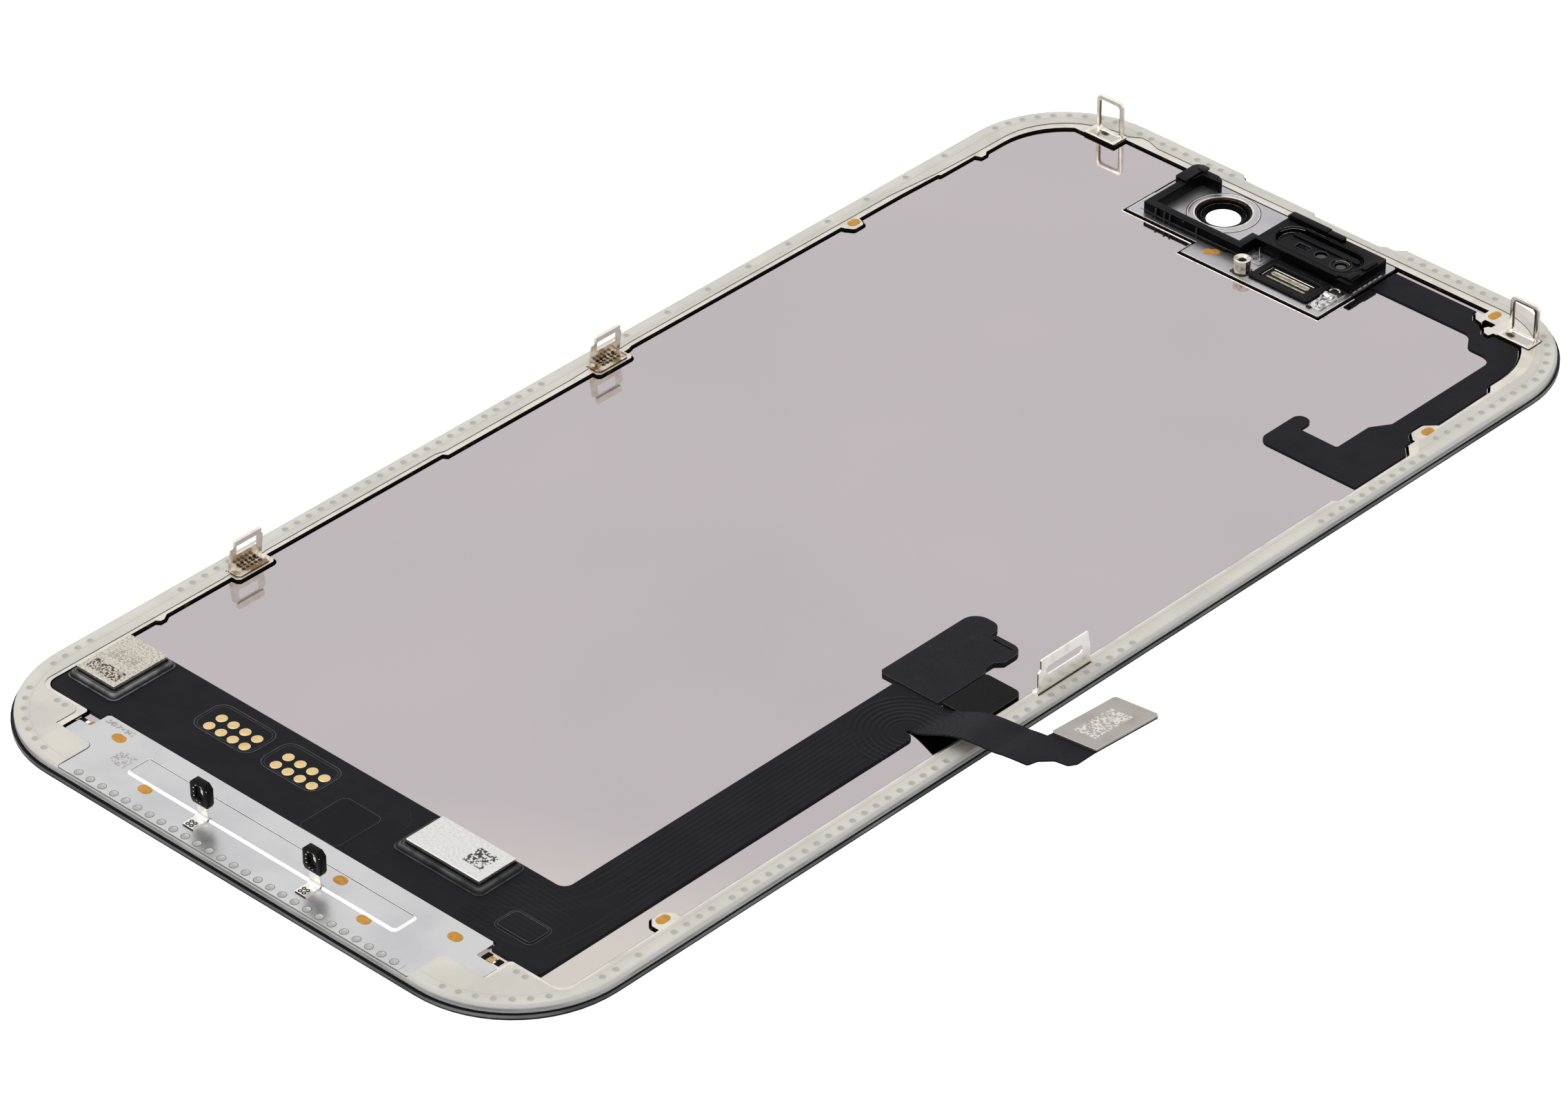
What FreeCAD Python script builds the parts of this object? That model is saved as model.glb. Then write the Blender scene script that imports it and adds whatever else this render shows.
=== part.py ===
import FreeCAD, Part

import math
import os

from FreeCAD import Placement, Rotation, Vector

# A phone's front glass and display, lying glass down, seen from its back side with all that is fixed there.
# Millimetres. X runs across the short side, Y towards the front camera, Z up. The origin is the middle of
# the glass's front face. Outlines are lists of (x, y, corner radius).

# Cover glass
GLASS_W = 69.8
GLASS_L = 145.9
GLASS_T = 0.7
GLASS_CORNER_R = 12.0
GLASS_CHAMFER = 0.25
EAR_NOTCH_W = 20.5
EAR_NOTCH_DEPTH = 1.1
EAR_NOTCH_R = 0.8

# Layers between the glass and the mirror-like back plate
ADHESIVE_T = 0.05
PANEL_T = 0.2
PLATE_T = 0.2
PANEL_BOTTOM = GLASS_T + ADHESIVE_T
PLATE_BOTTOM = PANEL_BOTTOM + PANEL_T
PLATE_TOP = PLATE_BOTTOM + PLATE_T
PLATE_GAP = 0.25

# Stamped rim and the frame moulded around it
RIM_T = 0.2
RIM_RISE = 0.25
RIM_TOP = PLATE_TOP + RIM_RISE
RIM_INSET = 1.3
RIM_LEFT = 3.15
RIM_RIGHT = 2.35
RIM_BEND_R = 8.5
RIM_TOP_IN = 3.45
SKIN_BACK = 0.35
FRAME_LIP = 0.05
FRAME_TOP = RIM_TOP + FRAME_LIP
FRAME_INSET_SIDE = 0.2
FRAME_INSET_END = 0.35
FRAME_CHAMFER = 0.22
EAR_STEP_W = 8.5
EAR_STEP_X = 3.9
EAR_STEP_DEPTH = 0.55
WINDOW_GAP = 0.12

# Bracket at the bottom end, and the pads of the frame beside it
PAD_TOP = 7.85
EAR_LEFT = 9.0
EAR_RIGHT = 8.5
EAR_FOOT = 4.65
EAR_TOP = 6.4
EAR_GAP = 0.4
NECK_LEFT = 13.1
NECK_RIGHT = 13.2
NECK_R = 0.8
HEAD_LEFT = 10.8
HEAD_RIGHT = 11.15
BRACKET_HEAD = 8.65
BRACKET_TOE = 0.45
TOE_EDGE = 1.75
BRACKET_T = 0.25
BRACKET_TOP = PLATE_TOP + BRACKET_T
BRACKET_SEAM = 0.05
STRIP_RISE = 0.06
STRIP_W = 1.1
STRIP_MARGIN = 1.25
STRIP_PITCH = 1.505
STRIP_HOLE_R = 0.36
RIB_MARGIN = 5.2
RIB_W = 2.6
RIB_H = 0.2
RIB_SLOPE = 0.18
RIB_FROM_END = 5.25

# Sheet clips, wire-like loops and hooks
CLIP_T = 0.15
CLIP_H = 3.5
CLIP_W = 4.0
CLIP_TOP_W = 3.2
CLIP_FLANGE = 1.55
CLIP_LEAN = 0.5
CLIP_SHOULDER = 2.6
CLIP_WINDOW_W = 2.5
CLIP_WINDOW_H = 1.05
CLIP_LIP_H = 0.6
CLIP_LEFT_IN = 2.35
CLIP_TAB_IN = 4.05
CLIP_TAB_MARGIN = 0.3
CLIP_UPPER_Y = 6.0
CLIP_LOWER_UP = 32.75
SIDE_CLIP_W = 6.9
SIDE_CLIP_H = 3.6
SIDE_CLIP_TOP_W = 6.2
SIDE_CLIP_Y = -3.15
SIDE_CLIP_IN = 1.6
SIDE_CLIP_FLANGE = 0.75
SIDE_SLOT_L = 4.8
SIDE_SLOT_H = 0.86
SIDE_SLOT_UP = 2.1
LOOP_W = 3.4
LOOP_H = 3.85
LOOP_BAND = 0.42
LOOP_T = 0.3
LOOP_R = 0.65
LOOP_FOOT_L = 3.9
LOOP_FOOT_W = 1.6
LOOP_FOOT_T = 0.16
HOOK_W = 1.3
HOOK_T = 0.15
HOOK_FOOT = 1.9
HOOK_BEND_R = 0.55
HOOK_RISE = 1.8
HOOK_GRIP = 0.25
HOOK_XS = (-6.95, 7.0)
EYE_W = 2.3
EYE_H = 2.45
EYE_T = 0.7
EYE_HOLE_W = 0.95
EYE_HOLE_H = 1.35
EYE_CORNER = 0.45

# Flexible circuits and what lies on them
FLEX_T = 0.2
FLEX_TOP = PLATE_TOP + FLEX_T
SENSOR_FLEX_T = 0.15
SENSOR_FLEX_BACK = 4.25
SENSOR_FLEX_FRONT = 7.85
SENSOR_FLEX_IN = 6.5
SENSOR_ARM_IN = 7.75
SENSOR_END_IN = 12.15
SENSOR_HEAD_IN = 13.95
SENSOR_HEAD_FOOT = 35.2
SEAM = 0.12
TRUNK_IN = 5.4
TRUNK_W = 6.8
BAND_TOP = 18.0
PATCH_T = 0.03
PATCH_W = 4.7
PATCH_L = 5.6
TAPE_T = 0.3
TAPE_IN = 7.25
TAPE_W = 7.0
TAPE_L = 12.6
TAPE_FLAP = 1.4
PAD_T = 0.5
PAD_W = 4.3
PAD_L = 5.9
CONTACT_R = 0.52
CONTACT_T = 0.04
CONTACT_PITCH = 1.5
CONTACT_ROWS = 2
CONTACT_COLUMNS = 4
CONTACT_UP = 14.25
COVER_FILM_T = 0.06

# Driver chips with their covers, by side: size across, size along
CHIP_SIZES = {"left": (4.85, 6.5), "right": (8.9, 4.5)}
CHIP_IN = 0.5

# Where things lie along the band, as shares of the glass's width from its middle
BAND_PLACES = {
    "chip_left": -0.4083,
    "contacts_left": -0.2049,
    "contacts_right": -0.0838,
    "patch": 0.0287,
    "chip_right": 0.1862,
}
CHIP_COVER_T = 0.3
CHIP_BODY_T = 0.55
SKIRT_T = 0.12
SKIRT_OUT = 0.95
SKIRT_BULGE = 0.7
SHOULDER_IN = 0.08

# Tail of the main flex and its plug
TAIL_W = 4.6
TAIL_Y = -15.8
TAIL_T = 0.15
TAIL_RISE = ((6.3, 1.35), (5.1, 1.62), (3.6, 2.3), (1.5, 3.2), (-0.9, 3.7), (-3.7, 3.98))
LAND_OUT = 5.6
LAND_Z = 4.3
LAND_STEP = 0.3
LAND_W = 5.1
LAND_L = 8.5
LAND_TILT_X = 6.2
LAND_TILT_Y = 4.0
STIFFENER_T = 0.22
PLUG_W = 2.6
PLUG_L = 7.0
PLUG_T = 0.75
PLUG_RIDGE = 0.35
PLUG_TONGUE_W = 0.9

# Camera and sensor cluster in the notch at the top end
CLUSTER_LEFT = -14.3
CLUSTER_RIGHT = 11.55
CLUSTER_STEP_X = -5.4
CLUSTER_FRONT = 15.3
CLUSTER_STEP = 2.3
CLUSTER_BACK = 3.55
CLUSTER_GAP = 0.4
CLUSTER_SHEET_T = 0.25
CLUSTER_RISE = 0.2
CLUSTER_TOP = PLATE_TOP + CLUSTER_RISE
CAMERA_X = -7.0
CAMERA_IN = 7.25
CAMERA_BORE_R = 2.8
CAMERA_HOLE_R = 1.75
CAMERA_EMBOSS_R = 3.5
CAMERA_EMBOSS_H = 0.1
HOLDER_H = 1.22
HOLDER_WALL = 0.85
HOLDER_W = 12.2
HOLDER_IN = 12.35
HOLDER_LUG_H = 1.6
HOLDER_LUG_OUT = 0.5
HOLDER_ARM_L = 3.6
SENSOR_W = 11.8
SENSOR_L = 5.6
SENSOR_H = 1.4
SENSOR_BACK_H = 1.7
SENSOR_WALL = 0.75
SENSOR_FLOOR = 0.45
POCKET_L = 9.9
POCKET_W = 3.7
INSERT_T = 0.45
LENS_R = 0.62
SPEAKER_L = 7.35
SPEAKER_W = 3.9
SPEAKER_T = 0.22
SPEAKER_WINDOW_L = 5.7
SPEAKER_WINDOW_W = 2.3
GRILLE_BARS = 3
GRILLE_BAR_W = 0.42
POST_R = 0.84
POST_BORE_R = 0.42
POST_H = 1.45
POST_DEPTH = 1.2
POST_CHAMFER = 0.18
POST_X = 1.1
POST_IN = 14.05
EASE = 0.3

# Corners rounded by less than this are cut straight, close to the round, which keeps the model light
ROUND_FROM = 0.7
STRAIGHT_CUT = 0.6
HOLE_SIDES = 8
CONTACT_SIDES = 12
LENS_SIDES = 16


def left(distance):
    return -GLASS_W / 2 + distance


def right(distance):
    return GLASS_W / 2 - distance


def bottom(distance):
    return -GLASS_L / 2 + distance


def top(distance):
    return GLASS_L / 2 - distance


def outline(corners, z=0.0):
    """Closed wire through corners (x, y, r), each rounded by its r, or cut straight where r is small."""
    stretches = []
    for i, (x, y, r) in enumerate(corners):
        here = Vector(x, y, z)
        if r == 0:
            stretches.append((here, None, here))
            continue
        before = corners[i - 1]
        after = corners[(i + 1) % len(corners)]
        back = (Vector(before[0], before[1], z) - here).normalize()
        ahead = (Vector(after[0], after[1], z) - here).normalize()
        half = back.getAngle(ahead) / 2
        inward = (back + ahead).normalize()
        middle = here + inward * (r / math.sin(half) - r)
        reach = r / math.tan(half)
        if r < ROUND_FROM:
            reach *= STRAIGHT_CUT
            stretches.append((here + back * reach, None, here + ahead * reach))
            continue
        stretches.append((here + back * reach, middle, here + ahead * reach))
    edges = []
    for i, (start, middle, end) in enumerate(stretches):
        if middle is not None:
            edges.append(Part.Arc(start, middle, end).toShape())
        elif start != end:
            edges.append(Part.makeLine(start, end))
        following = stretches[(i + 1) % len(stretches)][0]
        if end.distanceToPoint(following) > 1e-6:
            edges.append(Part.makeLine(end, following))
    return Part.Wire(edges)


def inset(corners, distance):
    """The corners of an anticlockwise outline, moved inwards by distance; sharp corners stay sharp."""
    moved = []
    for i, (x, y, r) in enumerate(corners):
        before = corners[i - 1]
        after = corners[(i + 1) % len(corners)]
        a = Vector(x - before[0], y - before[1], 0).normalize()
        b = Vector(after[0] - x, after[1] - y, 0).normalize()
        turn = a.x * b.y - a.y * b.x
        step = (Vector(-a.y, a.x, 0) + Vector(-b.y, b.x, 0)) * (distance / (1 + a.dot(b)))
        if r > 0:
            r = max(r - distance * math.copysign(1, turn), 0)
        moved.append((x + step.x, y + step.y, r))
    return moved


def plate(corners, z, thickness):
    return Part.Face(outline(corners, z)).extrude(Vector(0, 0, thickness))


def rectangle(x0, x1, y0, y1, r=0.0):
    return [(x0, y0, r), (x1, y0, r), (x1, y1, r), (x0, y1, r)]


def block(x0, x1, y0, y1, z0, z1, r=0.0):
    return plate(rectangle(x0, x1, y0, y1, r), z0, z1 - z0)


def disc(x, y, z0, z1, r):
    return Part.makeCylinder(r, z1 - z0, Vector(x, y, z0))


def prism(x, y, z0, z1, r, sides):
    """An upright pin with flat sides, as thick as a round one of radius r."""
    wide = r / math.sqrt(math.cos(math.pi / sides))
    turns = [2 * math.pi * (i + 0.5) / sides for i in range(sides)]
    return plate([(x + wide * math.cos(a), y + wide * math.sin(a), 0) for a in turns], z0, z1 - z0)


def upright(corners, y, thickness):
    """A plate standing on edge: corners are (x, z, r), and it runs from y to y + thickness."""
    shape = Part.Face(outline(corners)).extrude(Vector(0, 0, thickness))
    shape.rotate(Vector(0, 0, 0), Vector(1, 0, 0), 90)
    shape.translate(Vector(0, y + thickness, 0))
    return shape


def sideways(corners, x, thickness):
    """A plate standing on edge: corners are (y, z, r), and it runs from x to x + thickness."""
    shape = Part.Face(outline(corners)).extrude(Vector(0, 0, thickness))
    shape.rotate(Vector(0, 0, 0), Vector(1, 1, 1), 120)
    shape.translate(Vector(x, 0, 0))
    return shape


def frustum(x0, x1, y0, y1, z, height, slope):
    low = outline(rectangle(x0, x1, y0, y1), z)
    high = outline(rectangle(x0 + slope, x1 - slope, y0 + slope, y1 - slope), z + height)
    return Part.makeLoft([low, high], True, True)


def chamfer_where(shape, size, test):
    return shape.makeChamfer(size, [edge for edge in shape.Edges if test(edge)])


def at_height(z):
    """A test for edges that lie flat at height z."""
    return lambda edge: abs(edge.BoundBox.ZMin - z) < 1e-6 and abs(edge.BoundBox.ZMax - z) < 1e-6


def one_solid(shape):
    """The shape without its seams, as a bare solid where it is only one."""
    shape = shape.removeSplitter()
    return shape.Solids[0] if len(shape.Solids) == 1 else shape


def opening():
    """The rim's inner edge without its tabs, anticlockwise from the bottom left."""
    clip_y = CLIP_UPPER_Y
    return [
        (left(RIM_LEFT), bottom(PAD_TOP), 1.3),
        (left(EAR_LEFT), bottom(PAD_TOP), 0.4),
        (left(EAR_LEFT), bottom(EAR_FOOT), 0.3),
        (left(NECK_LEFT), bottom(EAR_FOOT), NECK_R),
        (left(NECK_LEFT), bottom(TOE_EDGE), 0.25),
        (right(NECK_RIGHT), bottom(TOE_EDGE), 0.25),
        (right(NECK_RIGHT), bottom(EAR_FOOT), NECK_R),
        (right(EAR_RIGHT), bottom(EAR_FOOT), 0.3),
        (right(EAR_RIGHT), bottom(PAD_TOP), 0.4),
        (right(RIM_RIGHT), bottom(PAD_TOP), 1.3),
        (right(RIM_RIGHT), top(38.4), 0),
        (right(1.9), top(38.1), 0),
        (right(1.9), top(27.8), 0.4),
        (right(3.0), top(26.6), 0),
        (right(3.15), top(14.4), 0),
        (right(3.75), top(13.6), 0),
        (right(3.75), top(RIM_TOP_IN), RIM_BEND_R),
        (left(3.55), top(RIM_TOP_IN), RIM_BEND_R),
        (left(3.55), top(15.3), 0),
        (left(3.25), top(15.6), 0),
        (left(3.25), top(20.8), 0),
        (left(3.0), top(21.0), 0),
        (left(2.85), top(26.0), 0),
        (left(2.85), top(33.0), 0),
        (left(2.7), top(34.0), 0),
        (left(2.6), clip_y + 3.5, 0),
        (left(2.8), clip_y + 2.9, 0),
        (left(2.8), clip_y, 0),
        (left(3.23), clip_y, 0),
        (left(3.23), clip_y - 21.3, 0),
        (left(2.78), clip_y - 21.6, 0),
        (left(2.78), bottom(CLIP_LOWER_UP), 0),
        (left(RIM_LEFT), bottom(CLIP_LOWER_UP), 0),
    ]


def rim_tabs():
    """The tabs and bumps that the rim reaches inwards with, each anticlockwise and rooted in the rim."""
    (left_x, left_y), (right_x, right_y) = loop_places()
    left_front = left_y - LOOP_FOOT_W
    right_front = right_y - LOOP_FOOT_W
    right_end = right_x - LOOP_FOOT_L / 2
    left_end = left_x + LOOP_FOOT_L / 2
    tabs = [
        [
            (right(2.0), bottom(19.3), 0),
            (right(2.0), bottom(21.9), 0),
            (right(3.1), bottom(21.9), 0.2),
            (right(3.9), bottom(21.2), 0.3),
            (right(3.9), bottom(20.0), 0.3),
            (right(3.2), bottom(19.3), 0.3),
        ],
        [
            (right(1.5), top(25.6), 0),
            (right(1.5), top(22.1), 0),
            (right(3.15), top(22.1), 0.2),
            (right(4.15), top(23.1), 0.5),
            (right(4.15), top(24.8), 0.5),
            (right(3.3), top(25.6), 0.2),
        ],
        [
            (right_x + 2.2, right_front, 0),
            (right_x + 2.2, top(2.5), 0),
            (right_end - 3.1, top(2.5), 0),
            (right_end - 3.1, right_front + 1.95, 0),
            (right_end - 3.75, right_front + 1.95, 0),
            (right_end - 3.75, right_front + 1.6, 0),
            (right_end - 3.15, right_front + 0.85, 0),
            (right_end - 2.35, right_front + 0.7, 0),
            (right_end - 1.45, right_front, 0),
            (right_end - 1.05, right_front - 0.5, 0),
            (right_end - 0.5, right_front - 0.6, 0),
            (right_end - 0.35, right_front, 0),
        ],
        [
            (left_end + 0.1, left_front, 0.3),
            (left_end + 0.1, top(2.5), 0),
            (left(5.5), top(2.5), 0),
            (left(5.5), left_front, 0),
        ],
        [
            (left(2.2), top(34.75), 0),
            (left(3.1), top(34.4), 0.2),
            (left(3.9), top(33.9), 0.4),
            (left(3.9), top(32.6), 0.4),
            (left(2.85), top(32.1), 0),
            (left(2.2), top(32.1), 0),
        ],
        [
            (left(2.6), top(15.85), 0),
            (left(3.3), top(15.85), 0),
            (left(3.9), top(15.6), 0),
            (left(3.9), top(15.0), 0),
            (left(3.55), top(14.5), 0),
            (left(2.6), top(14.5), 0),
        ],
        [
            (left(2.6), bottom(21.15), 0),
            (left(3.15), bottom(21.15), 0),
            (left(3.55), bottom(21.45), 0),
            (left(3.55), bottom(21.85), 0),
            (left(3.15), bottom(22.5), 0),
            (left(2.6), bottom(22.5), 0),
        ],
    ]
    half = CLIP_W / 2 + CLIP_TAB_MARGIN
    for y in (CLIP_UPPER_Y, bottom(CLIP_LOWER_UP)):
        tabs.append(rectangle(left(2.0), left(CLIP_TAB_IN), y - half, y + half, 0.5))
    return tabs


def opening_fill(z, thickness, gap=0.0):
    """A sheet that fills the rim's opening up to a gap, also around the rim's tabs."""
    tabs = [plate(inset(tab, -gap), z - 1, thickness + 2) for tab in rim_tabs()]
    return plate(inset(opening(), gap), z, thickness).cut(tabs)


def tab_slot():
    """The slot between the two lips of the rim's top right tab."""
    x, y = loop_places()[1]
    end = x - LOOP_FOOT_L / 2
    front = y - LOOP_FOOT_W
    return [
        (end - 1.65, front - 0.05, 0),
        (end - 1.45, front + 0.55, 0),
        (end - 1.1, front + 0.7, 0),
        (end - 1.1, front + 1.35, 0),
        (end - 2.4, front + 1.35, 0),
        (end - 2.4, front + 0.85, 0),
    ]


def skin_edge():
    """Where the frame's top skin ends and the bare rim begins; it passes behind the rim's tabs."""
    return [
        (left(2.75), bottom(PAD_TOP - SKIN_BACK), 1.5),
        (left(EAR_LEFT - 2 * SKIN_BACK), bottom(PAD_TOP - SKIN_BACK), 0.9),
        (left(EAR_LEFT - 2 * SKIN_BACK), bottom(EAR_FOOT), 0),
        (left(NECK_LEFT), bottom(EAR_FOOT), NECK_R),
        (left(NECK_LEFT), bottom(TOE_EDGE), 0),
        (right(NECK_RIGHT), bottom(TOE_EDGE), 0),
        (right(NECK_RIGHT), bottom(EAR_FOOT), NECK_R),
        (right(EAR_RIGHT - SKIN_BACK), bottom(EAR_FOOT), 0),
        (right(EAR_RIGHT - SKIN_BACK), bottom(PAD_TOP - SKIN_BACK), 0.5),
        (right(2.1), bottom(PAD_TOP - SKIN_BACK), 1.3),
        (right(2.1), top(38.7), 0),
        (right(1.55), top(37.9), 0),
        (right(1.55), top(26.9), 0.4),
        (right(2.75), top(25.3), 0.4),
        (right(2.75), top(2.55), RIM_BEND_R),
        (left(15.4), top(2.65), 0),
        (left(13.9), top(2.15), 0.4),
        (left(13.0), top(2.15), 0.4),
        (left(11.9), top(2.9), 0),
        (left(2.95), top(2.9), RIM_BEND_R),
        (left(2.95), top(15.5), 0),
        (left(2.75), top(20.9), 0),
        (left(2.2), top(27.0), 0),
        (left(2.1), CLIP_UPPER_Y + 4.0, 0),
        (left(2.6), CLIP_UPPER_Y - 4.5, 0),
        (left(2.6), CLIP_UPPER_Y - 21.0, 0),
        (left(2.3), CLIP_UPPER_Y - 22.0, 0),
        (left(2.3), bottom(CLIP_LOWER_UP + 3.0), 0),
        (left(2.75), bottom(CLIP_LOWER_UP - 3.0), 0),
    ]


def glass_outline():
    x = GLASS_W / 2
    y = GLASS_L / 2
    half = EAR_NOTCH_W / 2
    return [
        (-x, -y, GLASS_CORNER_R),
        (x, -y, GLASS_CORNER_R),
        (x, y, GLASS_CORNER_R),
        (half, y, EAR_NOTCH_R / 2),
        (half - EAR_NOTCH_R, y - EAR_NOTCH_DEPTH, EAR_NOTCH_R / 2),
        (EAR_NOTCH_R - half, y - EAR_NOTCH_DEPTH, EAR_NOTCH_R / 2),
        (-half, y, EAR_NOTCH_R / 2),
        (-x, y, GLASS_CORNER_R),
    ]


def cover_glass():
    return chamfer_where(plate(glass_outline(), 0, GLASS_T), GLASS_CHAMFER, at_height(0))


def cluster_corners(grow=0.0):
    """The sensor cluster's footprint, grown all round by a gap, and open to the frame at its top."""
    front = top(CLUSTER_FRONT) - grow
    step = top(CLUSTER_FRONT - CLUSTER_STEP) - grow
    return [
        (CLUSTER_LEFT - grow, step, EASE),
        (CLUSTER_STEP_X - grow, step, 0),
        (CLUSTER_STEP_X - grow, front, EASE),
        (CLUSTER_RIGHT + grow, front, EASE),
        (CLUSTER_RIGHT + grow, top(CLUSTER_BACK) + grow, EASE),
        (CLUSTER_LEFT - grow, top(CLUSTER_BACK) + grow, EASE),
    ]


def layer(z, thickness, gap):
    """A sheet in the rim's opening, with the notch for the sensor cluster."""
    notch = plate(cluster_corners(CLUSTER_GAP), z - 1, thickness + 2)
    return one_solid(opening_fill(z, thickness, gap).cut(notch))


def optical_adhesive():
    return layer(GLASS_T, ADHESIVE_T, PLATE_GAP * 2)


def display_panel():
    return layer(PANEL_BOTTOM, PANEL_T, PLATE_GAP * 1.5)


def back_plate():
    return layer(PLATE_BOTTOM, PLATE_T, PLATE_GAP)


def frame_outline():
    x0 = left(FRAME_INSET_SIDE)
    x1 = right(FRAME_INSET_SIDE)
    y0 = bottom(FRAME_INSET_END)
    y1 = top(FRAME_INSET_END)
    r = GLASS_CORNER_R - FRAME_INSET_SIDE
    half = EAR_NOTCH_W / 2
    low = top(EAR_NOTCH_DEPTH)
    step = top(EAR_NOTCH_DEPTH + EAR_STEP_DEPTH)
    step_left = EAR_STEP_X - EAR_STEP_W / 2
    step_right = EAR_STEP_X + EAR_STEP_W / 2
    return [
        (x0, y0, r),
        (x1, y0, r),
        (x1, y1, r),
        (half, y1, EASE),
        (half - EAR_NOTCH_R, low, EASE),
        (step_right + EASE, low, 0),
        (step_right - EASE, step, 0),
        (step_left + EASE, step, 0),
        (step_left - EASE, low, 0),
        (EAR_NOTCH_R - half, low, EASE),
        (-half, y1, EASE),
        (x0, y1, r),
    ]


def bracket_corners(grow=0.0):
    """The bottom bracket's outline; its ears stand in the pockets of the frame's corner pads."""
    seam = BRACKET_SEAM
    left_neck = left(NECK_LEFT) + seam
    right_neck = right(NECK_RIGHT) - seam
    left_ear = left(EAR_LEFT) + EAR_GAP
    right_ear = right(EAR_RIGHT) - seam
    ear_foot = bottom(EAR_FOOT) + seam
    ear_top = bottom(EAR_TOP)
    head = bottom(BRACKET_HEAD)
    toe = bottom(BRACKET_TOE)
    corners = [
        (left_neck, toe, 0.2),
        (right_neck, toe, 0.2),
        (right_neck, ear_foot, NECK_R + seam),
        (right_ear, ear_foot, 0.2),
        (right_ear, ear_top, 0.2),
        (right(HEAD_RIGHT), ear_top, 0.2),
        (right(HEAD_RIGHT), head, 0.4),
        (left(HEAD_LEFT), head, 0.4),
        (left(HEAD_LEFT), ear_top, 0.2),
        (left_ear, ear_top, 0.2),
        (left_ear, ear_foot, 0.2),
        (left_neck, ear_foot, NECK_R + seam),
    ]
    return inset(corners, -grow) if grow else corners


def rim_insert():
    """One stamped sheet: its inner edge is bare, and its outer part lies inside the moulding."""
    x0 = left(RIM_INSET)
    x1 = right(RIM_INSET)
    y0 = bottom(RIM_INSET)
    y1 = top(RIM_INSET + SKIN_BACK)
    outer = rectangle(x0, x1, y0, y1, GLASS_CORNER_R - RIM_INSET)
    z = RIM_TOP - RIM_T
    ring = plate(outer, z, RIM_T).cut(opening_fill(z - 1, RIM_T + 2))
    ring = ring.cut(plate(tab_slot(), z - 1, RIM_T + 2))
    ring = ring.cut(block(left(EAR_LEFT), right(EAR_RIGHT), bottom(0), bottom(PAD_TOP), z - 1, z + 1))
    return one_solid(ring)


def foot_windows():
    """Pockets in the frame's top skin around each foot that stands on the bare rim."""
    g = WINDOW_GAP
    pockets = []
    for y in (CLIP_UPPER_Y, bottom(CLIP_LOWER_UP)):
        x = left(CLIP_LEFT_IN)
        half = CLIP_W / 2
        pockets.append(rectangle(x - 2 * g, x + CLIP_FLANGE, y - half - g, y + half + g))
    x = right(SIDE_CLIP_IN)
    half = SIDE_CLIP_W / 2
    pockets.append(rectangle(x - SIDE_CLIP_FLANGE - g, x + g, SIDE_CLIP_Y - half - g, SIDE_CLIP_Y + half + g))
    for x, y in loop_places():
        half = LOOP_FOOT_L / 2
        pockets.append(rectangle(x - half - g, x + half + g, y - LOOP_FOOT_W - g, y + LOOP_T + g))
    return pockets


def bezel_frame(rim):
    """The moulded frame: a ring with a thin skin over the rim, a low bar under the bracket's toe,
    and pockets for the feet that stand on the rim."""
    body = plate(frame_outline(), GLASS_T, FRAME_TOP - GLASS_T)
    body = chamfer_where(body, FRAME_CHAMFER, at_height(FRAME_TOP))
    body = body.cut(opening_fill(0, FRAME_TOP + 1))
    body = body.cut(plate(tab_slot(), 0, FRAME_TOP + 1))
    body = body.cut(plate(skin_edge(), RIM_TOP, FRAME_TOP))
    body = body.cut(rim)
    body = body.cut(plate(bracket_corners(BRACKET_SEAM), PLATE_TOP, FRAME_TOP))
    for pocket in foot_windows():
        body = body.cut(plate(pocket, RIM_TOP, FRAME_TOP))
    return one_solid(body)


def bottom_bracket():
    """A stamped sheet with an embossed rib and, along its toe, a raised strip with a row of holes."""
    sheet = plate(bracket_corners(), PLATE_TOP, BRACKET_T)
    y0 = bottom(RIB_FROM_END) - RIB_W / 2
    y1 = bottom(RIB_FROM_END) + RIB_W / 2
    x0 = left(NECK_LEFT + RIB_MARGIN)
    x1 = right(NECK_RIGHT + RIB_MARGIN)
    sheet = sheet.fuse(frustum(x0, x1, y0, y1, BRACKET_TOP, RIB_H, RIB_SLOPE))
    sheet = sheet.cut(frustum(x0, x1, y0, y1, PLATE_TOP, RIB_H, RIB_SLOPE))
    y0 = bottom(BRACKET_TOE)
    x0 = left(NECK_LEFT + STRIP_MARGIN)
    x1 = right(NECK_RIGHT + STRIP_MARGIN)
    sheet = sheet.fuse(block(x0, x1, y0, y0 + STRIP_W, BRACKET_TOP, BRACKET_TOP + STRIP_RISE, 0.15))
    steps = int((x1 - x0) / STRIP_PITCH - 1)
    start = (x0 + x1 - steps * STRIP_PITCH) / 2
    holes = [
        prism(start + i * STRIP_PITCH, y0 + STRIP_W / 2, 0, BRACKET_TOP + 1, STRIP_HOLE_R, HOLE_SIDES)
        for i in range(steps + 1)
    ]
    return one_solid(sheet.cut(Part.makeCompound(holes)))


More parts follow.
